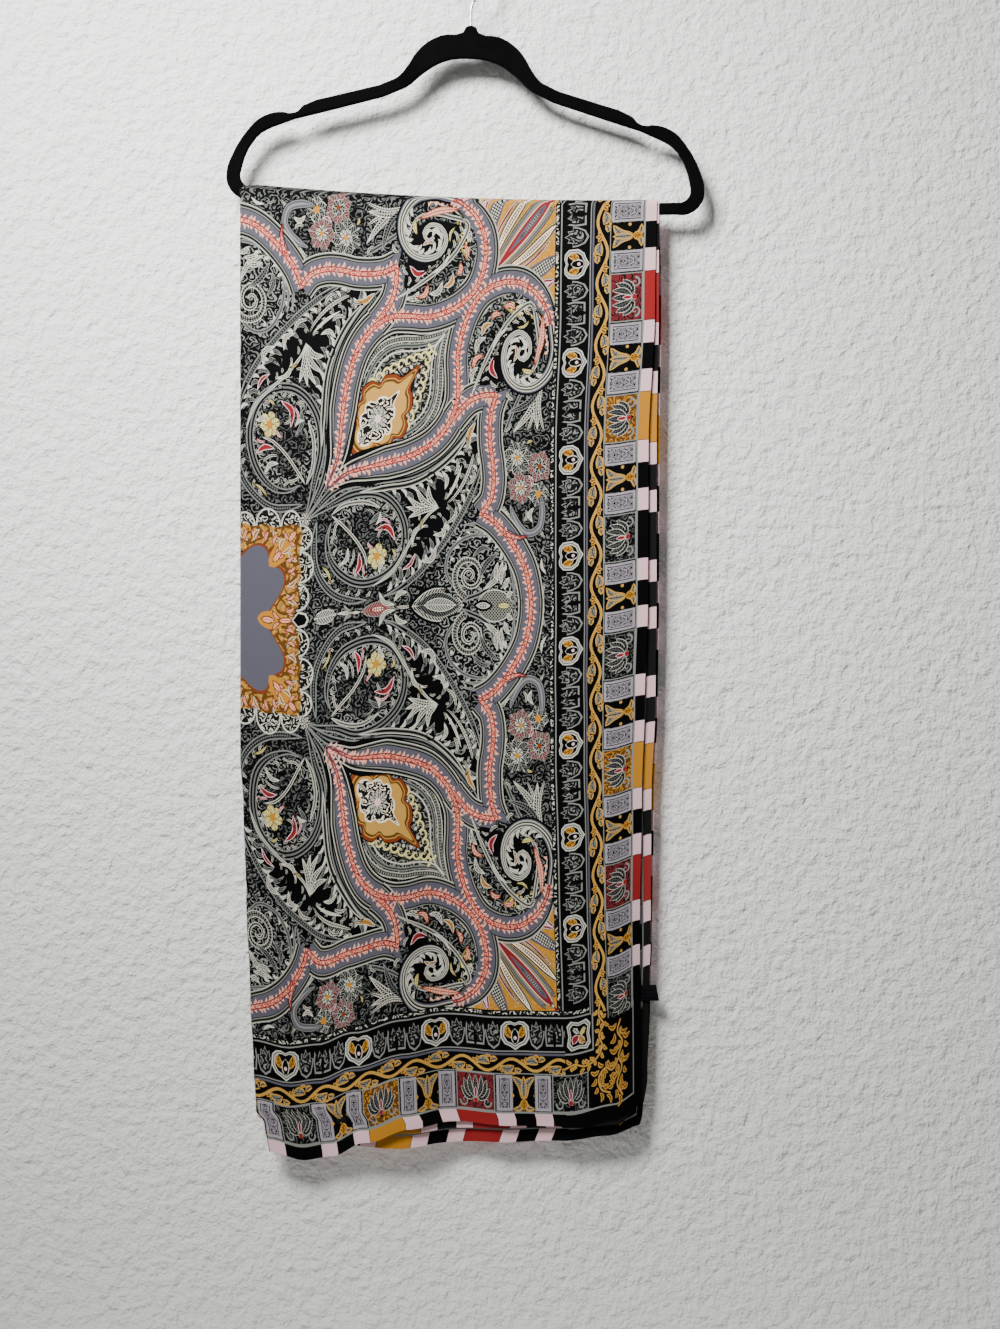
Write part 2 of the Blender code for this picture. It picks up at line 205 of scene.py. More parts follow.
def sheet_point(a, b):
    """Where a point of the flat sheet hangs: a across, b along, both in mm."""
    outer = a >= FOLD_AT
    from_fold = np.abs(a - FOLD_AT)
    width = np.where(outer, HALF_WIDTH - FOLD_AT, HALF_WIDTH + FOLD_AT)
    share = np.clip((from_fold - FOLD_ARC) / (width - FOLD_ARC), 0.0, 1.0)
    round_fold = np.clip(from_fold / FOLD_ARC, 0.0, 1.0) * math.pi / 2
    angle = np.where(outer, round_fold, -round_fold)

    drift = drift_at(share)
    past_bar = b - drift
    front = past_bar >= 0.0
    side = np.where(front, -1.0, 1.0)
    reach = BEND_INNER + BEND_PITCH / 2 * (1.0 + np.sin(angle))
    quarter = reach * math.pi / 2 / MM
    turn = np.clip(0.5 - 0.5 * past_bar / quarter, 0.0, 1.0)

    level = np.zeros_like(share)
    top_x = pick(outer, True, LONG_EDGES, level)
    back_x = pick(outer, False, LONG_EDGES, level)
    end_fold = np.where(front, FOLD_LINE[0][1], FOLD_LINE[0][2])
    onto_bar = smooth(0.0, 0.30, np.minimum(turn, 1.0 - turn))
    bend_fold = end_fold + (OVER_BAR_LEFT - end_fold) * onto_bar
    bend_fold = bend_fold + BEND_PITCH / 2 * (1.0 - np.cos(angle))
    bend_x = bend_fold + share * (top_x + turn * (back_x - top_x) - bend_fold)

    fold_top = np.where(front, read_table(FOLD_LINE, level, 1), read_table(FOLD_LINE, level, 2))
    edge_top = np.where(front, top_x, back_x)
    top = bend_axis_depth(fold_top + share * (edge_top - fold_top))
    hem = pick(outer, front, HEMS, share)
    length = HALF_LENGTH + side * drift - quarter
    down = np.clip((np.abs(past_bar) - quarter) / length, 0.0, None)
    down = down + UPPER_STRETCH * down * (1.0 - down)
    depth = top + (hem - top) * down
    closing = smooth(LEAVES_BAR, FULL_PITCH, depth)
    inner = BEND_INNER + closing * (FALL_INNER - BEND_INNER)
    radius = (BEND_PITCH + closing * (FALL_PITCH - BEND_PITCH)) / 2
    edge_x = pick(outer, front, LONG_EDGES, depth)
    fold_x = np.where(front, read_table(FOLD_LINE, depth, 1), read_table(FOLD_LINE, depth, 2))
    spread = share + EDGE_TURN * smooth(0.55, 1.08, depth) * share**4 * (1.0 - share)
    fall_x = fold_x + radius + spread * (edge_x - fold_x - radius) - radius * np.cos(angle)
    out = inner + radius * (1.0 + np.sin(angle))
    fall_y = side * out + hang(fall_x, depth)

    on_bar = np.abs(past_bar) < quarter
    x = np.where(on_bar, bend_x, fall_x)
    y = np.where(on_bar, -reach * np.cos(math.pi * turn), fall_y)
    z = np.where(on_bar, reach * np.sin(math.pi * turn) - bend_axis_depth(bend_x), -depth)
    return np.stack([x, y, z], axis=-1)


def sheet_normal(a, b):
    """The right side's outward direction."""
    step = 0.4
    across = sheet_point(a + step, b) - sheet_point(a - step, b)
    along = sheet_point(a, b + step) - sheet_point(a, b - step)
    normal = np.cross(along, across)
    return normal / np.maximum(np.linalg.norm(normal, axis=-1, keepdims=True), 1e-12)


# ---- colours, as they read on the cloth (sRGB) -------------------------------
COLOURS = {
    "black": (4, 4, 5), "soot": (17, 17, 17), "dim": (72, 74, 72), "grey": (74, 76, 75),
    "mid": (91, 93, 90), "ash": (120, 122, 117), "stone": (121, 121, 112), "ecru": (183, 181, 167),
    "cream": (228, 214, 190), "slate": (79, 78, 88), "lilac": (146, 140, 147), "pink": (218, 180, 185),
    "shell": (228, 166, 142), "coral": (186, 70, 56), "brick": (132, 33, 34), "wine": (100, 34, 38),
    "rust": (110, 50, 24), "umber": (84, 54, 22), "bronze": (146, 102, 40), "ochre": (172, 116, 34),
    "gold": (176, 134, 64), "straw": (204, 192, 126), "olive": (130, 114, 54),
}

# How a shape is filled. The shader draws the fine work of each kind.
PLAIN, SCROLL, STRIPES, CURLS, LEAF, BEADS, NET, CARD, GILT = range(9)

LOOKS = {
    # name: kind, ground, ink, outline, width of the outline in mm
    "black": (PLAIN, "black", "black", "black", 0.0),
    "white": (PLAIN, "ecru", "ecru", "black", 0.0),
    "cream": (PLAIN, "cream", "cream", "black", 0.0),
    "ash": (PLAIN, "ash", "ash", "black", 0.0),
    "gold": (PLAIN, "gold", "gold", "black", 0.0),
    "ochre": (PLAIN, "ochre", "ochre", "black", 0.0),
    "straw": (PLAIN, "straw", "straw", "black", 0.0),
    "rust": (PLAIN, "rust", "rust", "black", 0.0),
    "umber": (PLAIN, "umber", "umber", "black", 0.0),
    "red": (PLAIN, "brick", "brick", "black", 0.0),
    "red_dot": (PLAIN, "brick", "brick", "ecru", 0.8),
    "pink": (PLAIN, "pink", "pink", "black", 0.0),
    "slate": (PLAIN, "slate", "slate", "soot", 0.7),
    "arabesque": (SCROLL, "black", "mid", "black", 0.0),
    "dim": (SCROLL, "black", "dim", "black", 0.0),
    "scroll": (SCROLL, "black", "ash", "black", 0.0),
    "bright": (SCROLL, "soot", "ecru", "black", 0.0),
    "bouquet": (SCROLL, "soot", "cream", "black", 0.0),
    "meadow": (SCROLL, "soot", "stone", "black", 0.0),
    "lobe": (SCROLL, "soot", "ash", "black", 0.0),
    "gilt_field": (SCROLL, "ochre", "gold", "umber", 1.0),
    "red_field": (SCROLL, "wine", "soot", "black", 0.0),
    "ochre_field": (SCROLL, "umber", "ochre", "black", 0.0),
    "fine": (STRIPES, "black", "mid", "ash", 0.6),
    "pale": (STRIPES, "soot", "stone", "ecru", 0.6),
    "slate_lines": (STRIPES, "slate", "ash", "soot", 0.8),
    "volute": (STRIPES, "slate", "soot", "black", 0.9),
    "ray_pink": (STRIPES, "wine", "pink", "olive", 0.9),
    "ray_gold": (STRIPES, "umber", "cream", "olive", 1.2),
    "ray_olive": (SCROLL, "soot", "straw", "olive", 1.8),
    "ray_slate": (BEADS, "soot", "ecru", "slate", 1.8),
    "coral": (CURLS, "coral", "shell", "wine", 0.9),
    "gilt": (GILT, "bronze", "gold", "umber", 0.8),
    "fern": (LEAF, "coral", "shell", "shell", 0.4),
    "ecru_leaf": (LEAF, "soot", "ecru", "ecru", 0.8),
    "dark_leaf": (LEAF, "black", "mid", "ash", 0.6),
    "grey_leaf": (LEAF, "grey", "ecru", "ecru", 0.6),
    "gilt_leaf": (LEAF, "shell", "coral", "umber", 0.9),
    "white_leaf": (LEAF, "ecru", "soot", "black", 0.5),
    "straw_leaf": (LEAF, "straw", "olive", "black", 0.6),
    "gold_leaf": (LEAF, "gold", "rust", "ecru", 0.7),
    "red_leaf": (LEAF, "brick", "wine", "pink", 0.6),
    "red_bloom": (LEAF, "wine", "ash", "stone", 0.6),
    "grey_bloom": (LEAF, "soot", "ash", "ecru", 0.5),
    "pink_leaf": (LEAF, "pink", "brick", "black", 0.5),
    "shell_leaf": (LEAF, "shell", "brick", "rust", 0.7),
    "vine_leaf": (LEAF, "stone", "black", "gold", 1.3),
    "gold_bud": (LEAF, "ochre", "black", "gold", 0.9),
    "lotus": (LEAF, "soot", "grey", "ecru", 0.5),
    "drop": (PLAIN, "black", "black", "ecru", 0.9),
    "beaded": (BEADS, "black", "stone", "ecru", 0.7),
    "red_beads": (BEADS, "wine", "cream", "brick", 0.9),
    "netted": (NET, "black", "stone", "ecru", 0.8),
    "card": (CARD, "lilac", "black", "soot", 0.9),
    "lilac": (PLAIN, "lilac", "lilac", "black", 0.0),
}


def linear(rgb):
    parts = [c / 255 for c in rgb]
    return tuple(c / 12.92 if c <= 0.04045 else ((c + 0.055) / 1.055) ** 2.4 for c in parts) + (1.0,)


# ---- shapes --------------------------------------------------------------------
class Print:
    """Shapes on the flat sheet, in painter's order."""

    def __init__(self):
        self.points = []
        self.faces = []
        self.face_item = []
        self.items = []             # (look, fit, path) of each shape
        self.loop_points = []       # the first face's points, which is the sheet's edge

    def add_item(self, look, fit, path=None):
        self.items.append((look, fit, path))
        return len(self.items) - 1

    def add_face(self, corners, fit, item):
        """One face. corners are in the motif's own units; fit lays them on the sheet."""
        matrix, shift = fit[:2]
        placed = corners @ matrix.T + shift
        x, y = placed[:, 0], placed[:, 1]
        area = float(np.sum(x * np.roll(y, -1) - np.roll(x, -1) * y)) / 2
        if abs(area) < SMALLEST_AREA:
            return
        if area < 0.0:
            placed = placed[::-1]
        ring = []
        for start, end in zip(placed, np.roll(placed, -1, axis=0)):
            parts = max(1, math.ceil(float(np.linalg.norm(end - start)) / GRID))
            ring.extend((start + (end - start) * (i / parts)).tolist() for i in range(parts))
        first = len(self.points)
        if first == 0:
            self.loop_points = list(range(len(ring)))
        self.points.extend(ring)
        self.faces.append(list(range(first, first + len(ring))))
        self.face_item.append(item)


def make_fit(matrix, shift, scale=1.0):
    """How a motif is laid on the sheet; scale is the size of its unit there, in mm."""
    matrix = np.array(matrix, float)
    return matrix, np.array(shift, float), np.linalg.inv(matrix), scale


def spline(points, spacing, closed=False):
    """Points along a smooth curve through the given ones."""
    knots = np.array(points, float)
    if closed:
        knots = np.vstack([knots[-1:], knots, knots[:2]])
    else:
        knots = np.vstack([2 * knots[0] - knots[1], knots, 2 * knots[-1] - knots[-2]])
    out = []
    for before, start, end, after in zip(knots, knots[1:], knots[2:], knots[3:]):
        steps = max(1, math.ceil(float(np.linalg.norm(end - start)) / spacing))
        for t in np.arange(steps) / steps:
            square = 2 * before - 5 * start + 4 * end - after
            cube = 3 * start - before - 3 * end + after
            out.append(0.5 * (2 * start + (end - before) * t + square * t**2 + cube * t**3))
    out.append(knots[-2])
    return np.array(out)


# Width along a ribbon, for a share t of its length.
TAPERS = {
    "even": lambda t: np.ones_like(t),
    "leaf": lambda t: np.sin(math.pi * np.clip(t, 0.0, 1.0)) ** 0.75,
    "ray": lambda t: np.sqrt(np.clip(1.0 - t, 0.0, 1.0)) * np.clip(t, 0.0, 1.0) ** 0.9 * 2.3,
    "ends": lambda t: np.minimum(1.0, np.minimum(t, 1.0 - t) / 0.18) ** 0.6,
    "tail": lambda t: np.clip(1.0 - t, 0.0, 1.0) ** 0.6,
    "curl": lambda t: 0.35 + 0.65 * (1.0 - t),
    "bud": lambda t: np.sqrt(np.clip(np.sin(math.pi * np.clip(t, 0.0, 1.0)), 0.0, 1.0)),
}


# Steps between the points of a curve, in the units of its motif.
PANEL_LEAF_STEP, KITE_STEP, BAND_STEP, BORDER_LEAF_STEP, AREA_STEP = 1.0, 1.2, 1.3, 3.0, 3.0
STEPS_IN_A_TURN = 26
CURL_REACH, CURL_EASE = 0.88, 0.85          # how far in a spiral runs, and how evenly
HOOK_LEAN, HOOK_SWAY = 48.0, 9.0            # degrees from the path
HOOK_BEND, HOOK_ROOT, HOOK_GROWTH = 0.28, 0.4, 0.25
PETAL_WIDTH, HEART_SIZE = 4.8, 0.3          # of the radius, the first shared by the petals


def mirrored(half):
    """A half outline from diagonal to diagonal, with its mirror image."""
    return list(half) + [(q, p) for p, q in half[-2:0:-1]]


def grown(points, size):
    """An outline made larger or smaller about its middle."""
    centre = np.mean(points, axis=0)
    return [tuple(centre + (np.array(point) - centre) * size) for point in points]


class Artist:
    """Draws motifs in their own units into every copy that the print has of them."""

    def __init__(self, art, fits, plain=False):
        self.art, self.fits, self.plain = art, fits, plain

    def placed(self, s, t, wide=1.0, tall=1.0):
        """Two artists for a motif at s, t: one draws it once, one with its mirror image."""
        fits = []
        for turn in (1.0, -1.0):
            for matrix, shift, _, scale in self.fits:
                fits.append(make_fit(matrix @ np.diag((wide * turn, tall)), matrix @ (s, t) + shift, scale))
        half = len(fits) // 2
        once, pair = (Artist(self.art, some, self.plain) for some in (fits[:half], fits))
        return {"once": once, "pair": pair}

    def band(
        self, path, width, look, taper="even", closed=False, spacing=BAND_STEP, raw=False, pieces=False
    ):
        """A ribbon along a path; width is across its widest place, in mm."""
        if self.plain:
            return
        scale = self.fits[0][3]
        line = np.array(path, float) if raw else spline(path, spacing, closed)
        keep = [0] + [i for i in range(1, len(line)) if np.linalg.norm(line[i] - line[i - 1]) > 1e-6]
        line = line[keep]
        steps = np.linalg.norm(np.diff(line, axis=0), axis=1)
        along = np.concatenate([[0.0], np.cumsum(steps)])
        half = width / 2 / scale * TAPERS[taper](along / along[-1])
        directions = np.diff(line, axis=0) / steps[:, None]
        first, last = (directions[-1:], directions[:1]) if closed else (directions[:1], directions[-1:])
        before, after = np.vstack([first, directions]), np.vstack([directions, last])
        bisector = before + after
        bisector /= np.maximum(np.linalg.norm(bisector, axis=1, keepdims=True), 1e-9)
        normal = np.stack([-bisector[:, 1], bisector[:, 0]], axis=1)
        stretch = 1.0 / np.maximum(np.sum(bisector * after, axis=1), 0.6)
        left = line + normal * (half * stretch)[:, None]
        right = line - normal * (half * stretch)[:, None]
        path = (line, directions, steps, along, np.maximum(half, 1e-4))
        if pieces:
            loops = [(right[i], right[i + 1], left[i + 1], left[i]) for i in range(len(line) - 1)]
        else:
            loops = [[*right, *left[::-1]]]
        for fit in self.fits:
            item = self.art.add_item(look, fit, path)
            for loop in loops:
                corners = [c for i, c in enumerate(loop) if np.linalg.norm(c - loop[i - 1]) > 1e-6]
                if len(corners) > 2:
                    self.art.add_face(np.array(corners), fit, item)

    def area(self, points, look, spacing=0.0):
        """A filled outline, smoothed where a spacing is given."""
        line = spline(points, spacing, True)[:-1] if spacing else np.array(points, float)
        for fit in self.fits:
            self.art.add_face(line, fit, self.art.add_item(look, fit))

    def leaf(self, base, tip, width, look, bend=0.0, taper="leaf", spacing=PANEL_LEAF_STEP):
        """A leaf from base to tip, bowed sideways by bend times its length."""
        base, tip = np.array(base, float), np.array(tip, float)
        away = tip - base
        middle = (base + tip) / 2 + bend * np.array([-away[1], away[0]])
        self.band((base, middle, tip), width, look, taper, spacing=spacing)

    def curl(self, centre, width, look, start, radius, turns):
        """A spiral from its outside in; start in degrees, turns signed."""
        steps = max(8, int(abs(turns) * STEPS_IN_A_TURN))
        share = np.arange(steps + 1) / steps
        angle = math.radians(start) + math.tau * turns * share
        reach = radius * (1.0 - CURL_REACH * share**CURL_EASE)
        path = np.stack([centre[0] + reach * np.cos(angle), centre[1] + reach * np.sin(angle)], axis=1)
        self.band(path, width, look, "curl", raw=True, pieces=True)

    def hooks(self, path, width, look, every, length, sides):
        """Hooked leaves along a path, every so many units, on one side or both."""
        line = spline(path, every / 3)
        steps = np.linalg.norm(np.diff(line, axis=0), axis=1)
        along = np.concatenate([[0.0], np.cumsum(steps)])
        for number, reach in enumerate(np.arange(every * 0.5, along[-1] - every * 0.3, every)):
            index = min(int(np.searchsorted(along, reach)), len(steps) - 1)
            ahead = (line[index + 1] - line[index]) / steps[index]
            for side in sides:
                aside = np.array((-ahead[1], ahead[0])) * side
                angle = math.radians(HOOK_LEAN + HOOK_SWAY * math.sin(2.3 * number))
                grow = length * (1.0 + HOOK_GROWTH * math.sin(1.7 * number + side))
                base = line[index] + aside * length * HOOK_ROOT
                tip = base + grow * (math.cos(angle) * ahead + math.sin(angle) * aside)
                self.leaf(base, tip, width, look, -HOOK_BEND * side)

    def flower(self, centre, radius, look, petals, start, heart):
        """Petals round a heart; start is the first petal's angle in degrees."""
        wide = radius * self.fits[0][3] * PETAL_WIDTH / petals
        for index in range(petals):
            angle = math.radians(start) + math.tau * index / petals
            tip = (centre[0] + radius * math.cos(angle), centre[1] + radius * math.sin(angle))
            self.leaf(centre, tip, wide, look, taper="bud", spacing=radius / 3)
        self.disc(centre, radius * HEART_SIZE, heart, 8)

    def disc(self, centre, radius, look, sides=20):
        turns = np.arange(sides) * math.tau / sides
        if not self.plain:
            self.area(np.array(centre) + radius * np.stack([np.cos(turns), np.sin(turns)], axis=1), look)


SIDES = {"left": (1.0,), "right": (-1.0,), "both": (1.0, -1.0)}


def draw(crew, marks):
    """Draws a table of marks.

    A line is either an artist's name, for the lines after it, or a verb with a look,
    its sizes and its points as x,y. A path is named for @name, or @name:from:to.
    """
    artist, paths = None, {}
    leaf_step = BORDER_LEAF_STEP if "once" in crew else PANEL_LEAF_STEP
    for row in marks.strip().splitlines():
        verb, *words = row.split()
        if verb in crew:
            artist = crew[verb]
            continue
        sizes, points = [], []
        for word in words[1:]:
            if word[0] == "@":
                name, *part = word[1:].split(":")
                points += paths[name][slice(*[int(index) for index in part])] if part else paths[name]
            elif "," in word:
                points.append(tuple(float(value) for value in word.split(",")))
            else:
                sizes.append(word)
        if verb == "path":
            paths[words[0]] = points
            continue
        look = LOOKS[words[0]]
        size = float(sizes[0]) if sizes else 0.0
        if artist.plain:
            continue
        if verb in ("leaf", "ray", "bud"):
            bend = float(sizes[1]) if len(sizes) > 1 else 0.0
            artist.leaf(*points, size, look, bend, verb, leaf_step)
        elif verb == "band":
            artist.band(points, size, look, sizes[1])
        elif verb == "area":
            artist.area(points, look, AREA_STEP)
        elif verb == "cut":
            artist.area(grown(points, size), look)
        elif verb == "kite":
            artist.area(mirrored(points), look, KITE_STEP)
        elif verb == "hooks":
            artist.hooks(points, size, look, float(sizes[1]), float(sizes[2]), SIDES[sizes[3]])
        elif verb == "curl":
            artist.curl(points[0], size, look, *[float(value) for value in sizes[1:]])
        elif verb == "flower":
            artist.flower(points[0], size, look, int(sizes[1]), float(sizes[2]), LOOKS[sizes[3]])
        elif verb == "disc":
            artist.disc(points[0], size, look)


# ---- the figured panels --------------------------------------------------------
# One octant is drawn, in hundredths of the half panel, and repeated by the fits:
# "axis" marks lie on the panel's axes and "diagonal" marks on its diagonals.
ROSETTE = """
octant
path stem 27,23 26.2,17 26.6,12.6 28.6,8.6 31.8,5.2 36,3.2 42.6,2.6
path ring 23.2,23 27,24.8 33,26.6 39.4,28.4 46.4,27.6 51.6,24 54,18.6 53,12.6 48.6,8.3 42,6.8 \
    35.6,8.6 31.4,12.8 30.2,18 31.6,22.2
area dim 24.6,22.6 25,14 28,7 35,2 44,1.4 53,8 56.4,17 53.6,26 46,30 34,27.6
hooks white_leaf 3.6 3.4 2.6 left @stem:2:7
band fine 6.4 ends @stem
leaf straw_leaf 3.2 .12 28.2,12.5 31.6,7.2
disc scroll 11 42.2,17.4
hooks white_leaf 3.6 3.5 2.8 right @ring:4:13
band fine 7.8 ends @ring
band pale 3.4 ends 31.6,23.8 35.6,25.8 41.6,26.2 46.6,24.4
area dim 33.4,20 36,13.4 41.6,9.4 48.4,11.6 51,17.6 47.6,23.4 40.4,24.6
curl white_leaf 3.6 200 3.3 -1.35 35.6,19.8
band beaded 2.6 ends 31.6,23.6 35.2,20.8 38.8,17.6 41.6,13.8 42.4,10.4
hooks white_leaf 2.2 2.2 2 both 32.6,22.6 36.6,19.4 40.4,15.6 42.2,11
flower straw_leaf 3.3 6 15 ochre 45.4,12.8
leaf red_leaf 5.4 .28 44.8,19.2 51,16.2
leaf pink_leaf 3.4 .3 44.2,20 50.4,19.4
leaf dark_leaf 4.2 .2 43,20.6 49.2,22.2
leaf red_leaf 5 .16 40,14.2 38.6,8.8
leaf pink_leaf 3.2 -.12 41.4,12 42,8.2
leaf ecru_leaf 4 .22 36.6,15.6 34.2,11.4
leaf white_leaf 3.4 .15 38.4,16.4 36,9.9
leaf ecru_leaf 3.8 -.2 48,11.6 46.2,8.4
leaf straw_leaf 3.4 .2 49.6,14.6 50.8,11.4
curl white_leaf 2.6 20 2.2 1.2 42.4,22.4
leaf white_leaf 3.2 .2 45.6,16.4 48,19.6
leaf pink_leaf 3.6 -.2 42.4,17 44.8,14.8
leaf ecru_leaf 3 .2 46.4,23.4 45,20.4
"""

STEMS = """
octant
path lower 47,2.6 52,4.4 57,7.3 61.4,10.8 65.2,14.8 69.2,19.6 72.8,25 75.8,30.6 77.8,36
path upper 40,28.6 48,29 56,29.8 62.4,32.2 68.6,36.4 73.6,41.8
path fork 49.6,8.4 53.6,13 57.2,18 61,22 64.4,23.8
path branch 64,23.8 68,25.6 71.6,29.6 74,34.4 74.8,37.4
area black 45,4 53,4.8 62,10.8 70,20 76.6,31 78.6,40 77.8,48.6 72,42 64,34.4 55,31 46,30.6 54.4,25 \
    56.6,17 52.6,8.4
hooks dark_leaf 3.8 3.2 4 left @lower
hooks dark_leaf 3.8 3.2 4 right @upper:1:6
hooks ecru_leaf 2.8 2.7 2.2 left @lower
hooks ecru_leaf 2.8 2.7 2.2 right @upper:1:6
hooks white_leaf 3 3 2.4 both @fork
hooks white_leaf 3 2.8 2.4 both @branch
band fine 5.4 ends @lower
band pale 2.6 ends 44,5.6 @fork
band fine 8.8 ends 23.6,23.4 32.6,29.6 41,31.2 49.6,31.4 57.6,32.6 64.2,35.6 70,40.2 74.6,45 77,48.6
band pale 4.8 ends @upper
leaf ecru_leaf 5.4 .14 64,23.8 54.4,26.8
leaf ecru_leaf 5.4 .08 64,23.8 54.2,24.2
leaf ecru_leaf 5.4 -.05 64,23.8 55,21.6
leaf ecru_leaf 5.4 .16 64,23.8 57.2,28.6
leaf ecru_leaf 5.4 .2 64,23.8 61,29.2
band white_leaf 4.6 ray @branch
band ecru_leaf 2.8 leaf 66.4,25.6 69.2,29.6 71.2,34
leaf gold_leaf 5.6 .14 73.2,37.8 75.2,44.2
leaf white_leaf 3.2 -.2 71.6,36.4 72.4,41
leaf white_leaf 4.4 -.2 68.6,31 69.4,36.2
leaf ecru_leaf 4 -.25 66,28 65,32.6
curl white_leaf 2.2 300 2 1.1 61.6,31
leaf white_leaf 4.4 -.2 72,29 75.4,33.2
leaf white_leaf 4.8 .22 69.6,24.8 66,19.6
leaf ecru_leaf 4.2 .3 66.4,20.4 62.4,17
leaf ecru_leaf 3.8 -.25 60.4,19.6 56,14.6
leaf ecru_leaf 4.6 .3 63.4,14.6 58.4,10.8
leaf red_leaf 3.4 .15 57,12.8 53,9
leaf white_leaf 3 .2 53.6,7 50.2,6.6
leaf straw_leaf 2.6 .1 58.6,18.4 59.6,21.6
curl white_leaf 2 60 2 1.1 59.6,14.6
"""

AXIS = """
axis
bud grey_leaf 12 26.2,0 33,0
leaf ecru_leaf 3.6 33.2,0 40.6,0
octant
leaf white_leaf 2.8 .2 39,.4 34.8,3
axis
leaf red_bloom 13 40.6,0 50.8,0
leaf red_beads 5.6 43.2,0 48.4,0
octant
leaf ecru_leaf 4 .22 51,.6 46,4.2
leaf ecru_leaf 4.2 .2 50.6,1.4 54.8,3.6
axis
leaf white_leaf 4 50.6,0 56.4,0
leaf black 34 55,0 72.6,0
leaf ecru_leaf 29 56,0 71.8,0
leaf dark_leaf 22 57.4,0 70.6,0
leaf grey_leaf 12 59.6,0 69.4,0
"""

PALMETTE = """
octant
area scroll 64.6,4 66,13.6 71.6,20.4 78,18.6 84,13.6 88,8 89.8,0 80,-.4
hooks ecru_leaf 2.6 3 1.9 right 66.4,9 69,16 75.6,19.6 82,15.6 86.6,8
band fine 3.2 ends 72.6,1.6 66.8,7 67.2,12.4 71.4,16 76.6,17.2 80.4,16.4
band fine 3.2 ends 71,19.4 76,19.8 81,18 85.2,13.8 87.8,8.4 88.8,0
band fine 3 ends 70.6,18 76,18.4 80.4,16.8 84.2,12.9 86.4,8 87.4,0
curl beaded 6.4 250 5.2 -1.9 73.6,7.2
band fine 4.2 ends 71,.8 73.4,1.8 77,3 80,5.2 80.6,8.6
band dark_leaf 5.6 leaf 76.4,6.4 78.6,10.2 82.4,13
band ecru_leaf 5 leaf 77.6,3.8 82,6.8 83.8,11.2
band dark_leaf 4.4 leaf 74.4,11.8 77.4,14 80.4,13.6
axis
bud netted 28 75.6,0 86.8,0
leaf black 10 74.6,0 80.6,0
leaf grey_leaf 5.6 75.4,0 79.8,0
leaf straw_leaf 6 81.8,0 86,0
octant
leaf ecru_leaf 4.6 .12 84.8,1.8 86.7,3.3
leaf ecru_leaf 4.6 .12 84.2,3.7 85.7,6.9
leaf ecru_leaf 4.6 .12 83.2,5.1 84.1,9.5
leaf ecru_leaf 4.6 .12 82,5.8 82.2,10.7
"""

FLOWERS = """
octant
band fine 3.6 ends 82.6,37 85,43.6 88,49.6 90.4,53.4
leaf ecru_leaf 6.6 .1 95.6,55.4 86.6,41.6
leaf white_leaf 5 .05 95.6,55.4 90.2,40.6
leaf ecru_leaf 6.6 -.1 95.6,55.4 94,42
leaf dark_leaf 6.6 .16 95.6,55.4 84.6,46.2
leaf white_leaf 4.6 -.12 95.6,55.4 96.6,40.2
curl white_leaf 2.2 120 1.8 1.1 94.6,37.6
area dim 82.8,40.6 83,30 84.4,23.6 89,19.6 94.6,21 97.2,28 97.4,36 93,40.4
flower grey_bloom 4.6 7 10 rust 88,35.6
flower white_leaf 2.3 5 30 ochre 88,35.6
flower red_bloom 4 6 10 rust 94.8,33.4
flower grey_bloom 2.2 5 30 rust 94.8,33.4
flower red_bloom 4.1 6 40 rust 89,28.4
flower white_leaf 2.1 5 0 ochre 89,28.4
flower grey_bloom 3.2 6 10 ochre 94.4,26.8
leaf gold_leaf 3.8 .2 85.2,31.4 84,35.2
leaf straw_leaf 3.2 .2 90.6,38.6 93,39.4
leaf red_leaf 3 .2 91.4,31.4 92.4,28.6
leaf white_leaf 5 -.2 83.6,24.6 86.6,21.4
leaf white_leaf 3.6 .2 83.4,28 82.6,24.4
leaf white_leaf 4 .3 90.4,23.6 89.4,20
leaf ecru_leaf 4 -.3 93,23.6 92.6,20
leaf white_leaf 3.4 .2 86.4,44.6 83,41.8
leaf white_leaf 3.6 .2 97,15.6 95.4,20.6
leaf white_leaf 2.6 .15 95.6,11 97,15.2
leaf ecru_leaf 2.6 .15 96.8,7.4 95.4,11.4
leaf white_leaf 3.2 .15 95.8,1.4 97.2,5.8
"""

FAN = """
diagonal
kite gilt_field 74.4,74.4 80,76 84.4,76 89.2,74 93.6,70 96.8,66 99.4,61 99.6,99.6
octant
ray ray_olive 17 -.16 77.6,77.4 99,71.6
ray ray_pink 13 -.13 77.6,77.4 98.4,77.4
ray ray_slate 14 -.1 77.6,77.4 99,82.8
ray ray_pink 9 -.07 77.6,77.4 96.6,86.8
ray ray_gold 13 -.05 77.6,77.4 99,91
ray slate_lines 9 -.02 77.6,77.4 97.6,94.6
diagonal
ray ray_gold 15 77.6,77.6 97.4,97.4
ray red_leaf 12 79.4,79.4 96.6,96.6
ray ray_slate 6 84,84 95,95
leaf red 4 96.8,96.8 99.6,99.6
"""

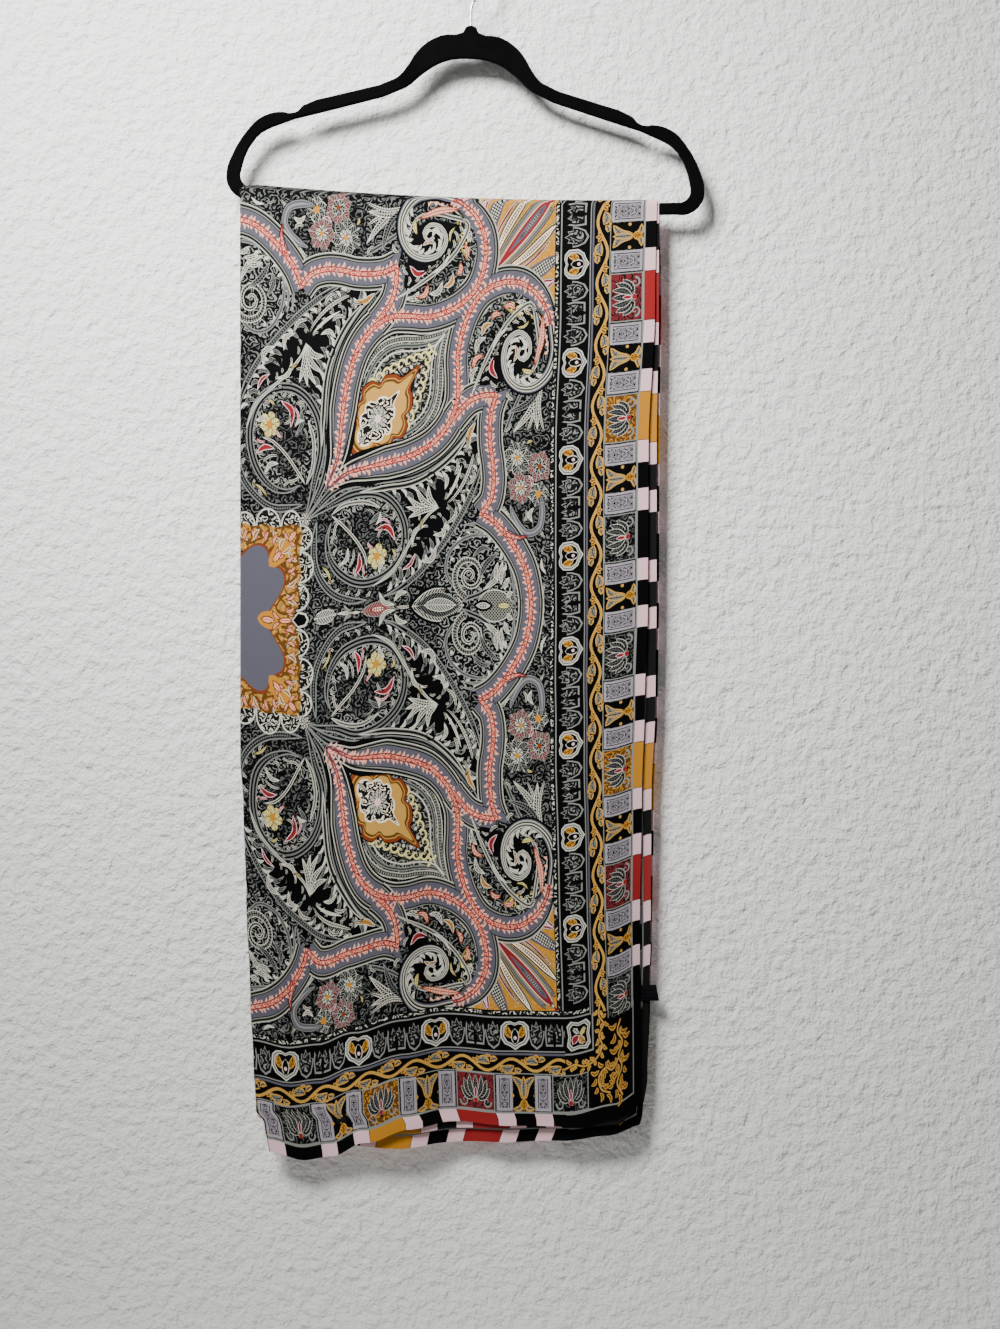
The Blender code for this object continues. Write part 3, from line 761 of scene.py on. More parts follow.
# The pointed panel on each diagonal; its ogee leaf and rows of curls come after it.
BOTEH = """
diagonal
kite meadow 30.6,30.6 37.4,34 43.6,35 49.8,36 56,37.6 61.6,40.2 65.8,44.2 68,49.4 68,54.6 67.4,60 \
    68.4,65.4 70.6,70.6 73.4,74.4
octant
band pale 5.4 even 33.2,33.2 38.6,36.4 44.6,37.4 50.2,38.6 55.6,40.4 60,43.2 63,47.2 64.2,52 64.2,57 \
    64.8,62 66.4,66.4 69.4,69.4
band fine 3.4 even 36,36 40.6,38.7 45.8,39.6 50.6,40.6 55.2,42.2 59,44.6 61.6,48 62.6,52.1 62.6,56.4 \
    63.1,60.7 64.5,64.5 67.1,67.1
band white 1.4 even 38.3,38.3 42.3,40.7 46.8,41.4 51,42.3 54.9,43.7 58.2,45.7 60.4,48.7 61.3,52.3 \
    61.3,56 61.7,59.7 62.9,62.9 65.2,65.2
"""
OGEE = (
    (38.6, 38.6), (40.4, 37.6), (43.0, 38.0), (44.6, 39.4), (46.6, 38.6), (49.2, 39.4), (50.2, 41.2),
    (52.4, 41.2), (54.0, 43.8), (53.4, 46.0), (55.0, 47.6), (55.2, 50.6), (54.6, 52.4), (57.2, 57.2),
)

# The slate frame and its coral fern, from the panel's axis to the corner.
ARCHES = """
octant
path edge 30,30 36.9,33.4 43.2,34.4 49.6,35.2 56,36.6 62.2,39.2 66.8,43.4 69.4,48.8 69.6,54.2 \
    69.2,59.6 70.2,65 72.4,70.2 76,74.6 81.6,77 87.4,77 92.6,74.2 96,69.4 96.9,64 96.6,60
path first 92.2,-1.5 92.2,0 91.8,4 90.4,9 87.6,13.6 84,17.8 80.4,20.8 76.6,22.6
path second 77,22.4 79.8,25.4 80.8,29.6 80.6,34 79.8,38.6 79.6,43.2 80,47.4 81.4,51
path third 81,50.8 77.2,50.6 73.4,49.4 70.2,46.8 68.2,44.6
band black 31 ends @edge:0:12
band pale 28 ends @edge
band slate 19 ends @edge
band slate_lines 8 ends 85.6,24.8 87.6,20.4 91,17.4 94.6,18.6 95.6,22.4 95.2,27
band pale 27 even @first
band pale 27 even @second
band pale 27 even @third
band slate 19 even @first
band slate 19 even @second
band slate 19 even @third
band slate 9 tail 84.6,17.4 88,16.4 91.4,16.8
band slate 15 tail 78.6,48.6 82,50 86,52.2
hooks fern 2.7 1.35 1.45 both @first
hooks fern 2.7 1.35 1.45 both @second
hooks fern 2.7 1.35 1.45 both @third
hooks fern 2.7 1.35 1.45 both @edge
band coral 5 even @first
band coral 5 even @second
band coral 5 even @third
band coral 5.6 tail 84.6,17.4 88,16.4 91.4,16.8
band coral 5 ends @edge
"""

CURLED = """
octant
path shell 73.6,50.4 77,57.6 80.8,64 85.2,69 90.8,72 92.6,67 93.4,61.4 92,56.4 87,53.4
band lobe 7 ends 72.6,56 73.4,62 76.6,68 81.6,72.4 87,73.4 91.6,70.6 93.6,66
leaf ecru_leaf 5 .25 73.8,53.6 75.4,57.4
leaf shell_leaf 5 .25 73.8,56.6 77.2,60.2
leaf ecru_leaf 5 .25 74.6,60.4 77.6,64.4
leaf gold_leaf 5 .25 76.2,64.6 79.6,67.6
leaf shell_leaf 5 .25 78.8,68.4 82.2,69.6
leaf shell_leaf 5 .25 82.4,71.2 86.4,70.6
leaf ecru_leaf 5 .25 86.6,72.6 89.6,70.2
band pale 3.6 ends @shell
area black 76,53 79,58.4 82.4,63.4 86.2,67.8 90.2,70 91.4,66 92,61 90.4,57 85,54.6
hooks white_leaf 3.6 2.4 2.8 right @shell:0:5
leaf shell_leaf 6.4 -.06 92.2,57 94.4,69.6
path volute 97.6,67 98.4,60.6 96.6,55.4 92.6,52.4 88,52.4 84.4,55 83,59.2 84,63.4 87.2,65.4 90.2,63.8 \
    90.8,60.6 89,58.8 87.2,60 88,61.8
band black 15.5 curl @volute
band volute 14 curl @volute
hooks ecru_leaf 3 2.1 2.7 right @volute:2:11
leaf straw_leaf 5 .16 92.4,56.4 88.4,56.8
leaf gold_leaf 4 -.2 86,58.4 86.4,62.4
band pale 7.6 curl @volute
band black 3.2 curl @volute
band white 1.5 curl @volute
leaf straw_leaf 3.4 -.2 86.2,66.6 90.6,68.4
leaf red_leaf 5.2 .25 81.4,54.6 80,59.8
leaf white_leaf 3.8 .2 82.2,52.6 79,54.6
leaf white_leaf 4.4 -.3 84.4,52 87,49.6
leaf white_leaf 2.2 .06 79.4,57.6 83.4,65
leaf ecru_leaf 3.2 .1 79.4,61.4 84,66.6
"""


def quartered(eighth):
    """A closed outline with fourfold symmetry from one eighth of it."""
    quarter = list(eighth) + [(q, p) for p, q in eighth[::-1]][1:-1]
    out = []
    for cosine, sine in ((1, 0), (0, 1), (-1, 0), (0, -1)):
        out += [(cosine * p - sine * q, sine * p + cosine * q) for p, q in quarter]
    return out


# An eighth of each outline, from the panel's axis to its diagonal.
GILT_EDGE = (
    (19.6, 0.0), (20.9, 2.2), (22.0, 5.0), (21.5, 8.0), (22.3, 11.0),
    (21.8, 14.5), (22.4, 18.5), (22.3, 21.8),
)
FIELD_EDGE = (
    (12.0, 0.0), (12.8, 1.6), (13.6, 3.0), (15.2, 5.0), (16.9, 7.2),
    (17.8, 9.8), (17.0, 12.2), (15.2, 13.0), (14.4, 14.4),
)
FIELD_SIZE = 0.965          # the slate field inside its rust line
SCALLOPS = (
    # from, to, edge, depth
    (2.0, 8.6, 21.4, 3.4),
    (8.6, 16.2, 22.2, 4.0),
    (16.2, 22.4, 22.2, 3.6),
)
SCALLOP_LINE = 0.42         # the white line round each
MIDDLE = """
axis
area white 21.5,-2 23.8,-1.5 24.6,0 23.8,1.5 21.5,2 19.4,0
area black 21.4,-1.5 23.4,-1.1 24.1,0 23.4,1.1 21.4,1.5 19.9,0
"""
GILT_LEAVES = """
axis
bud ochre 15 17.4,0 9,0
diagonal
bud ochre 15 19.6,19.6 12.6,12.6
octant
leaf gilt_leaf 4.2 .16 20.6,.8 17.6,3.6
leaf gilt_leaf 4.2 .16 20.8,3.4 17,2.2
leaf gold_leaf 3.8 .16 21,3.8 18,6.2
leaf gilt_leaf 4.2 .16 21,6.6 17.4,5
leaf gilt_leaf 4.2 .16 21.2,7.2 18.4,9.6
leaf gold_leaf 3.8 .16 21,9.8 18,8
leaf gilt_leaf 4.2 .16 21.2,10.4 18.6,12.8
leaf gilt_leaf 4.2 .16 21,13 17.6,11.4
leaf gold_leaf 3.8 .16 21.2,13.8 18.4,16.4
leaf gilt_leaf 4.2 .16 20.4,15.6 17,13.8
leaf gilt_leaf 4.2 .16 21.2,17.4 18.6,19
leaf gold_leaf 3.8 .16 19.2,17.6 16.6,15.8
leaf gilt_leaf 4.2 .16 17.6,15.4 14.2,15.6
leaf gilt_leaf 4.2 .16 16.4,.4 13.4,2.6
axis
bud gilt_leaf 6.4 14.4,0 10,0
bud gilt_leaf 5.6 19.8,0 15.2,0
diagonal
bud gilt_leaf 6 21,21 18.4,18.4
bud gilt_leaf 6 16.4,16.4 13.6,13.6
flower white_leaf 1.8 6 0 ash 23.6,23.6
"""


def draw_middle(crew):
    """The plain slate field, its gilt frame of leaves and its ring of scallops."""
    turns = np.radians(np.linspace(-90, 90, 11))
    for low, high, edge, depth in SCALLOPS:
        middle, half = (low + high) / 2, (high - low) / 2
        for inset, look in ((0.0, "white"), (SCALLOP_LINE, "bright")):
            wide, deep = half - inset, depth - inset
            arc = [(edge + deep * math.cos(t), middle + wide * math.sin(t)) for t in turns]
            crew["octant"].area(arc + [(edge - 2, middle + wide), (edge - 2, middle - wide)], LOOKS[look])
    draw(crew, MIDDLE)
    crew["whole"].area(quartered(GILT_EDGE), LOOKS["gilt"], 1.4)
    crew["whole"].area(quartered(FIELD_EDGE), LOOKS["rust"], 1.2)
    field = [(p * FIELD_SIZE, q * FIELD_SIZE) for p, q in quartered(FIELD_EDGE)]
    crew["whole"].area(field, LOOKS["slate"], 1.2)
    draw(crew, GILT_LEAVES)


def draw_boteh(crew):
    """The pointed panel, with nested lines, rows of curls and an ogee leaf."""
    draw(crew, BOTEH)
    for share in np.arange(9) / 8:
        spot = (60.2 - 6.0 * share**1.5, 61.4 - 18.0 * share)
        crew["octant"].curl(spot, 2.4, LOOKS["straw"], 90, 1.35 + 0.3 * math.sin(math.pi * share), -0.95)
        crew["octant"].disc((spot[0] - 1.9, spot[1] - 1.5), 0.5, LOOKS["white"], 6)
    ring = mirrored(OGEE)
    diagonal = crew["diagonal"]
    for size, look in ((1.11, "black"), (1.08, "rust"), (0.98, "gold"), (0.95, "umber"), (0.88, "gold")):
        diagonal.area(grown(ring, size), LOOKS[look], 0.8)
    spray = [(p - 1.4, q - 1.4) for p, q in grown(ring, 0.60)]
    diagonal.area(grown(spray, 1.09), LOOKS["cream"], 1.0)
    diagonal.area(spray, LOOKS["bouquet"], 1.0)
    diagonal.flower((45.6, 45.6), 3.4, LOOKS["white_leaf"], 7, 22, LOOKS["pink"])
    diagonal.leaf((42.6, 42.6), (39.8, 39.8), 4.4, LOOKS["white_leaf"])


def draw_panel(art, side):
    """The figured panel: an artist each for its octants, axes, diagonals and middle."""
    fits = []
    for up, tall in ((-1.0, PANEL_UP), (1.0, PANEL_DOWN)):
        wide, tall, shift = PANEL_WIDE / 100, side * up * tall / 100, (0.0, side * PANEL_MIDDLE)
        fits.append(make_fit(((wide, 0.0), (0.0, tall)), shift, UNIT))
        fits.append(make_fit(((0.0, wide), (tall, 0.0)), shift, UNIT))
    upper, upper_turned, lower, lower_turned = fits
    crew = {
        "octant": Artist(art, fits),
        "axis": Artist(art, [upper, upper_turned, lower_turned]),
        "diagonal": Artist(art, [upper, lower]),
        "whole": Artist(art, [upper]),
    }
    for marks in (ROSETTE, STEMS, AXIS, PALMETTE, FLOWERS, FAN):
        draw(crew, marks)
    draw_boteh(crew)
    draw(crew, ARCHES)
    draw(crew, CURLED)
    draw_middle(crew)


# ---- borders -------------------------------------------------------------------
# Distance outwards from the panel's edge, mm.
RULE, VINE, BLOCKS, SILVER_LINE, HEM_STRIP, BORDER = 27.0, 30.0, 45.0, 75.4, 77.0, 87.0
VINE_LINE = VINE + 7.4
END_STRETCH = (HALF_LENGTH - PANEL_MIDDLE - PANEL_DOWN) / BORDER    # the end border is taller
SQUARE_SHARE, CARD_SHARE = 0.40, 0.185      # of one repeat
SQUARE_FRAME, CARD_FRAME = (1.0, 0.9), (0.8, 0.7)       # along the border and across it
CARD_MARGIN, CARD_GAP = 3.0, 0.6            # round a card's drawing, and beside the card
LOTUS_HALF = 22.6                           # half the square that the lotus is drawn for
VINE_SWING, VINE_STEM = 4.9, 2.6            # to each side, and the stem's width
# How far the motifs stay from a border's ends, and how far past them blocks may stand.
VINE_CLEAR, ROUNDEL_CLEAR, LOBES_CLEAR, TULIP_CLEAR = 9.0, 12.0, (18.0, 4.0), 8.0
SQUARE_PAST, CARD_SHORT = 0.2, 0.8          # of half a square and half a card
LONG_START = -26.0                          # the long border runs this far past the bar's line
CORNER_RULE_AT, CORNER_RULE_WIDE = 1.4, 1.6
END_UNIT = 1.1                              # mean size of a border millimetre in the end border
LONG_REPEAT, END_REPEAT = 113.0, 90.0
LONG_ROUNDELS, END_ROUNDELS = 90.3, 74.0
END_MIDDLE = 3.0                            # the end blocks' middle, from the sheet's centre-line
END_ROUNDELS_SHIFT = 4.0                    # and the end roundels', from that
LONG_BLOCKS_PAST, END_BLOCKS_PAST = 6.0, 25.5           # past the panel's corner
SQUARE_ORDER = {0.5: 0, 1.5: 1, 2.5: 2, 3.5: 0}         # from the middle out
SQUARES = (("dim", "black"), ("ochre_field", "ochre"), ("red_field", "red"))
STRIPES_ALONG = (
    # from, to, look
    (-6.8, VINE, "black"), (-5.9, -3.4, "bright"), (-1.6, -0.4, "ash"), (25.8, 26.8, "ash"),
    (RULE + 0.8, VINE - 0.4, "slate"), (VINE, SILVER_LINE, "black"), (VINE + 14.2, VINE + 15.0, "ash"),
    (SILVER_LINE, HEM_STRIP, "ash"), (HEM_STRIP, BORDER, "black"),
)
ROUNDEL = """
once
path shape -13.5,10 -13,6 -9,2.6 -4.4,2 0,3.6 4.4,2 9,2.6 13,6 13.5,10 13.6,15 10,20.4 5,22.4 0,25.4 \
    -5,22.4 -10,20.4 -13.6,15
cut white 1 @shape
cut slate .9 @shape
cut white .82 @shape
cut black .74 @shape
pair
bud gold_bud 6.6 .2 1.6,15 7.6,5.6
once
bud drop 8.4 0,8 0,21
disc pink 1.5 0,15.6
"""
LOBES = """
once
path crown -10,22 -11,12 -9.6,4.4 -6.4,10.4 -3.6,4 0,8.6 3.6,4 6.4,10.4 9.6,4.4 11,12 10,22
cut ash 1 @crown
cut black .86 @crown
cut lobe .72 @crown
bud black 4.6 0,23.6 0,9
pair
path flower 12,15 11.2,9.6 14.8,9.4 15.2,4.6 18.4,6.2 20.6,1.8 22.8,6.2 26,4.6 26.4,9.4 30,9.6 \
    29.2,15 26.6,21.4 20.6,24.8 14.6,21.4
cut ash 1 @flower
cut black .86 @flower
cut lobe .7 @flower
"""
SPRAY = """
once
leaf vine_leaf 8 -.2 -9.6,-1.6 2.8,-.6
leaf vine_leaf 5.6 .24 10,-4.4 3.2,-2.2
leaf gold_bud 3 -.16 -3,-5.8 4.6,-6.2
leaf gold_bud 3.8 0 13.7,0 9.1,4.45
leaf gold_bud 3.8 0 13.7,0 13.7,6.4
leaf gold_bud 3.8 0 13.7,0 18.3,4.45
"""
LOTUS = """
pair
curl ash 2.2 0 5.2 1.2 13,-7
leaf lotus 7 .14 0,-9 17,-18.5
leaf lotus 7 .14 0,-9 13.4,-25
leaf lotus 6.2 .14 0,-9 6.8,-28.4
leaf white_leaf 2.6 -.2 0,-3 8,-10
once
leaf lotus 7 0,-9 0,-28.4
leaf red_leaf 4.4 0,-9 0,-19
disc red_dot 2.2 0,-7.6
"""
TULIP = """
pair
leaf vine_leaf 8 -.22 2,-10 10.6,-28.6
leaf vine_leaf 5.4 .3 1,-9 10.6,-2
disc gold 1.5 10.6,-13
once
leaf vine_leaf 6.4 0,-9 0,-29
bud gold_bud 8 0,-.8 0,-10.6
"""
# Where the two borders meet: a cartouche, and gilt branches on black.
CORNER = """
once
path shape 2,6 6,2 14,3.6 22,2 26,6 24.6,14 26,22 22,26 14,24.6 6,26 2,22 3.6,14
cut white 1 @shape
cut slate .9 @shape
cut white .82 @shape
cut black .74 @shape
leaf gold_leaf 7 .1 14,14 20.6,20.6
leaf red_leaf 7 .1 14,14 7.4,20.6
leaf white_leaf 6 .1 14,14 7.4,7.4
leaf straw_leaf 6 .1 14,14 20.6,7.4
band gold 1.6 even 37,-8 35,2 40,10 35,18 38,28 31,37 20,40 9,37 0,40
hooks vine_leaf 3.6 6.4 5 both 37,-6 35,2 40,10 35,18 38,28 31,37 20,40 9,37 1,40
band gold 1.8 even 60,9 56,18 62,28 57,38 61,48 55,60 62,72
hooks gold_bud 4.4 5.6 8.6 both 60,10 56,18 62,28 57,38 61,48 55,60 62,70
band gold 1.8 even 57,40 49,48 41,46 34,53 37,63 47,67
hooks gold_bud 4 5.2 7.4 both 56,41 49,48 41,46 34,53 37,63 46,66
"""


def strip(artist, start, end, low, high, look):
    """A plain rectangle along a border."""
    artist.area(((start, low), (end, low), (end, high), (start, high)), LOOKS[look])


def steps_between(start, end, middle, repeat):
    """Places every repeat, counted from the middle, from before start to past end."""
    first = math.floor((start - middle) / repeat) - 1
    return [(index, middle + index * repeat) for index in range(first, int((end - middle) / repeat) + 3)]


def draw_vine(artist, start, end, middle, wave):
    """A gilt stem that swings across its band, with a spray in every bend."""
    s = np.linspace(start, end, int((end - start) / (wave / 12)) + 1)
    t = VINE_LINE + VINE_SWING * np.sin(math.tau * (s - middle) / wave)
    artist.band(np.stack([s, t], axis=1), VINE_STEM, LOOKS["gold"], raw=True)
    for index, spot in steps_between(start, end, middle + wave / 4, wave / 2):
        if start + VINE_CLEAR < spot < end - VINE_CLEAR:
            draw(artist.placed(spot, VINE_LINE, tall=1.0 - 2.0 * (index % 2)), SPRAY)


def draw_block(artist, middle, half, edge, looks):
    """A block and the field laid on it; edge is how much of the block stays seen."""
    for (along, across), look in zip(((0.0, 0.0), edge), looks):
        start, end = middle - half + along, middle + half - along
        strip(artist, start, end, BLOCKS + across, SILVER_LINE - across, look)


def draw_card(artist, middle, half):
    """A lilac card in a thin dark frame, with a drawing in its middle."""
    draw_block(artist, middle, half, CARD_FRAME, ("dim", "lilac"))
    path = ((middle, BLOCKS + CARD_MARGIN), (middle, SILVER_LINE - CARD_MARGIN))
    artist.band(path, (half - CARD_MARGIN) * 2, LOOKS["card"], raw=True)


def draw_border(artist, start, end, middle, repeat, roundels, shift):
    """One straight border, from the panel's edge to the hem."""
    for low, high, look in STRIPES_ALONG:
        strip(artist, start, end, low, high, look)
    wide = roundels / LONG_ROUNDELS
    for _, spot in steps_between(start, end, middle + shift + roundels / 2, roundels):
        if start + ROUNDEL_CLEAR < spot < end - ROUNDEL_CLEAR:
            draw(artist.placed(spot, 0.0), ROUNDEL)
        if start + LOBES_CLEAR[0] < spot + roundels / 2 < end - LOBES_CLEAR[1]:
            draw(artist.placed(spot + roundels / 2, 0.0, wide), LOBES)
    draw_vine(artist, start, end, middle, repeat / 2)
    half, card = repeat * SQUARE_SHARE / 2, repeat * CARD_SHARE / 2
    for index, spot in steps_between(start, end, middle + repeat / 2, repeat):
        field, hem = SQUARES[SQUARE_ORDER[min(abs(index + 0.5), 3.5)]]
        if start - half < spot < end + half * SQUARE_PAST:
            draw_block(artist, spot, half, SQUARE_FRAME, ("ash", field))
            draw(artist.placed(spot, SILVER_LINE, half / LOTUS_HALF), LOTUS)
            strip(artist, spot - half, spot + half, HEM_STRIP, BORDER, hem)
        for side in (-1.0, 1.0):
            place = spot + side * (half + card + CARD_GAP)
            if start - 2 * card < place < end - card * CARD_SHORT:
                draw_card(artist, place, card)
                strip(artist, place - card, place + card, HEM_STRIP, BORDER, "pink")
        if start < spot + repeat / 2 < end - TULIP_CLEAR:
            draw(artist.placed(spot + repeat / 2, SILVER_LINE), TULIP)


def draw_sheet(edge, across, side, figured, plain):
    """The print of one quarter inside its edge: across is 1 outside, side 1 in front."""
    art = Print()
    art.add_item(LOOKS["arabesque"], make_fit(((1, 0), (0, 1)), (0, 0)))
    art.add_face(edge, art.items[0][1], 0)
    if figured and not plain:
        draw_panel(art, side)
    end = PANEL_MIDDLE + PANEL_DOWN
    outwards = ((across, 0), (0, side * END_STRETCH))
    long_side = Artist(art, [make_fit(((0, across), (side, 0)), (across * PANEL_WIDE, 0))], plain)
    end_side = Artist(art, [make_fit(outwards, (0, side * end), END_UNIT)], plain)
    corner = Artist(art, [make_fit(outwards, (across * PANEL_WIDE, side * end), END_UNIT)], plain)
    long_stop, end_stop = end + LONG_BLOCKS_PAST, PANEL_WIDE + END_BLOCKS_PAST
    draw_border(long_side, LONG_START, long_stop, PANEL_MIDDLE, LONG_REPEAT, LONG_ROUNDELS, 0.0)
    draw_border(end_side, -FOLD_AT * 2, end_stop, END_MIDDLE, END_REPEAT, END_ROUNDELS, END_ROUNDELS_SHIFT)
    strip(corner, 0, BLOCKS, 0, BLOCKS, "black")
    strip(corner, BLOCKS, BORDER, LONG_BLOCKS_PAST, BLOCKS, "black")
    strip(corner, END_BLOCKS_PAST, BORDER, BLOCKS, BORDER, "black")
    for low in (RULE, SILVER_LINE):
        turn = low + CORNER_RULE_AT
        corner.band(((0, turn), (turn, turn), (turn, 0)), CORNER_RULE_WIDE, LOOKS["ash"], raw=True)
    draw(corner.placed(0, 0), CORNER)
    return art


# ---- from print to cloth -------------------------------------------------------
BAR_LINE_POINTS = 50
FOLD_STEPS = (0.55, 1.1, 1.65, 2.2, FOLD_ARC + 0.3)         # mesh lines beside the fold
BAR_STEPS = (1.3, 2.6, 3.9, 5.2, 6.5, 7.8, 9.4)             # and beside the bar
RIM_LINE, RIM_STEP = 0.5, 6.0                               # and along the sheet's edges
RIM_CLEAR = 1.0             # the wrong side shares the right side's points nearer than this
SNAP, WRONG_SIDE_SNAP = 1e-5, 1e-3
AREA_WIDE, WIDEST_BAND = 50.0, 40.0     # half widths: one given to areas, one that no band has
HEM_EASE = 0.8
UV_WIDE, UV_LONG = 420.0, 920.0         # mm of the sheet across the drawing's unit square


def outline_of(across, side):
    """The quarter's edge on the flat sheet, with the bar's line at its top."""
    low = FOLD_AT
    high = across * HALF_WIDTH
    steps = np.linspace(low, high, BAR_LINE_POINTS)
    width = abs(high - low)
    share = np.clip((np.abs(steps - low) - FOLD_ARC) / (width - FOLD_ARC), 0.0, 1.0)
    top = [(a, drift_at(s)) for a, s in zip(steps, share)]
    return np.array(top + [(high, side * HALF_LENGTH), (low, side * HALF_LENGTH)])


def mesh_points(across, side):
    """Points that let the mesh follow the fold, the bar and the soft folds."""
    out = []
    fold = np.array(FOLD_STEPS) * across + FOLD_AT
    wide = np.arange(FOLD_AT + across * 9.0, across * (HALF_WIDTH - 3.0), across * GRID)
    for a in np.concatenate([fold, wide]):
        share = min(1.0, abs(a - FOLD_AT) / (HALF_WIDTH - across * FOLD_AT))
        drift = drift_at(share)
        for past in BAR_STEPS:
            out.append((a, drift + side * past))
        for b in np.arange(16.0, HALF_LENGTH - 3.0, GRID):
            out.append((a, drift + side * b))
    for a in across * np.array([HALF_WIDTH - RIM_LINE, HALF_WIDTH]):
        for b in np.arange(20.0, HALF_LENGTH, RIM_STEP):
            out.append((a, side * b))
    for a in np.arange(FOLD_AT + across * RIM_STEP, across * HALF_WIDTH, across * RIM_STEP):
        for b in (HALF_LENGTH - RIM_LINE, HALF_LENGTH):
            out.append((a, side * b))
    return out


def local_coordinates(item, points):
    """Along, across and half width of a shape at points of the sheet, in mm."""
    _, (_, shift, inverse, scale), path = item
    base = (points - shift) @ inverse.T
    if path is None:
        return np.stack([base[:, 0] * scale, base[:, 1] * scale, np.full(len(base), AREA_WIDE)], axis=1)
    line, directions, steps, along, half = path
    away = base[:, None, :] - line[None, :-1, :]
    reach = np.clip(np.sum(away * directions, axis=2) / steps, 0.0, 1.0)
    nearest = line[None, :-1, :] + reach[..., None] * (directions * steps[:, None])
    distance = np.linalg.norm(base[:, None, :] - nearest, axis=2)
    best = np.argmin(distance, axis=1)
    rows = np.arange(len(base))
    share = reach[rows, best]
    sign = directions[best, 0] * away[rows, best, 1] - directions[best, 1] * away[rows, best, 0]
    wide = half[best] + share * (half[best + 1] - half[best])
    offset = distance[rows, best] * np.sign(sign)
    run = along[best] + share * steps[best]
    return np.stack([run * scale, np.clip(offset / wide, -1.0, 1.0), wide * scale], axis=1)


def wound_round(ring, spots):
    """Which spots a closed outline winds round."""
    x, y = spots[:, :1], spots[:, 1:]
    (start_x, start_y), (end_x, end_y) = ring.T, np.roll(ring, -1, axis=0).T
    side = (end_x - start_x) * (y - start_y) - (x - start_x) * (end_y - start_y)
    rising = (start_y <= y) & (end_y > y) & (side > 0.0)
    falling = (start_y > y) & (end_y <= y) & (side < 0.0)
    return rising.sum(axis=1) != falling.sum(axis=1)


def topmost(art, spots, stacks):
    """The topmost shape at each spot, out of the stack of shapes named for it.

    The triangulation can name a shape for places outside it where the shape's
    outline crosses itself, so each one is tested.
    """
    tops = np.zeros(len(stacks), int)
    waiting = {}
    for index, stack in enumerate(stacks):
        waiting.setdefault(stack[-1], []).append(index)
    for number in range(len(art.faces) - 1, 0, -1):
        rows = np.array(waiting.pop(number, []), int)
        if len(rows) == 0:
            continue
        within = wound_round(np.array([art.points[i] for i in art.faces[number]]), spots[rows])
        tops[rows[within]] = number
        for index in rows[~within]:
            stacks[index].pop()
            waiting.setdefault(stacks[index][-1], []).append(index)
    return tops


def triangulate(art, points, snap):
    """Triangles of the print, each with the topmost shape that it lies in."""
    vectors = [Vector(p) for p in art.points] + [Vector(p) for p in points]
    flat, _, faces, origins, _, sources = delaunay_2d_cdt(vectors, [], art.faces, 1, snap, True)
    flat = np.array([tuple(v) for v in flat])
    kept = [(face, sorted(source)) for face, source in zip(faces, sources) if source and min(source) == 0]
    triangles = np.array([face for face, _ in kept])
    tops = topmost(art, flat[triangles].mean(axis=1), [stack for _, stack in kept])
    items = np.array(art.face_item)[tops]
    corner = flat[triangles]
    area = np.cross(corner[:, 1] - corner[:, 0], corner[:, 2] - corner[:, 0])
    triangles[area < 0] = triangles[area < 0][:, ::-1]
    used, triangles = np.unique(triangles, return_inverse=True)
    return flat[used], triangles.reshape(-1, 3), items, [origins[i] for i in used]


def edge_loop(triangles):
    """The outer edges of a triangulation, in order, with the triangle behind each."""
    edges = np.concatenate([triangles[:, [0, 1]], triangles[:, [1, 2]], triangles[:, [2, 0]]])
    _, inverse, uses = np.unique(np.sort(edges, axis=1), axis=0, return_inverse=True, return_counts=True)
    lone = uses[inverse.ravel()] == 1
    owners = np.tile(np.arange(len(triangles)), 3)[lone]
    after = {int(start): (int(end), int(owner)) for (start, end), owner in zip(edges[lone], owners)}
    loop, owner_list = [min(after)], []
    while True:
        following, owner = after[loop[-1]]
        owner_list.append(owner)
        if following == loop[0]:
            return loop, owner_list
        loop.append(following)


def paint(art, flat, triangles, items):
    """Per corner: where in its shape it lies, and the shape's kind and colours."""
    loops, loop_items = triangles.ravel(), np.repeat(items, 3)
    motif = np.zeros((len(loops), 3))
    order = np.argsort(loop_items, kind="stable")
    bounds = np.searchsorted(loop_items[order], np.arange(len(art.items) + 1))
    for index, item in enumerate(art.items):
        mine = order[bounds[index] : bounds[index + 1]]
        if len(mine):
            motif[mine] = local_coordinates(item, flat[loops[mine]])
    kind = np.array([(look[0], look[4], 0.0) for look, _, _ in art.items])[loop_items]
    colours = [np.array([linear(COLOURS[look[part]]) for look, _, _ in art.items]) for part in (1, 2, 3)]
    return [motif, kind, *[colour[loop_items] for colour in colours]]


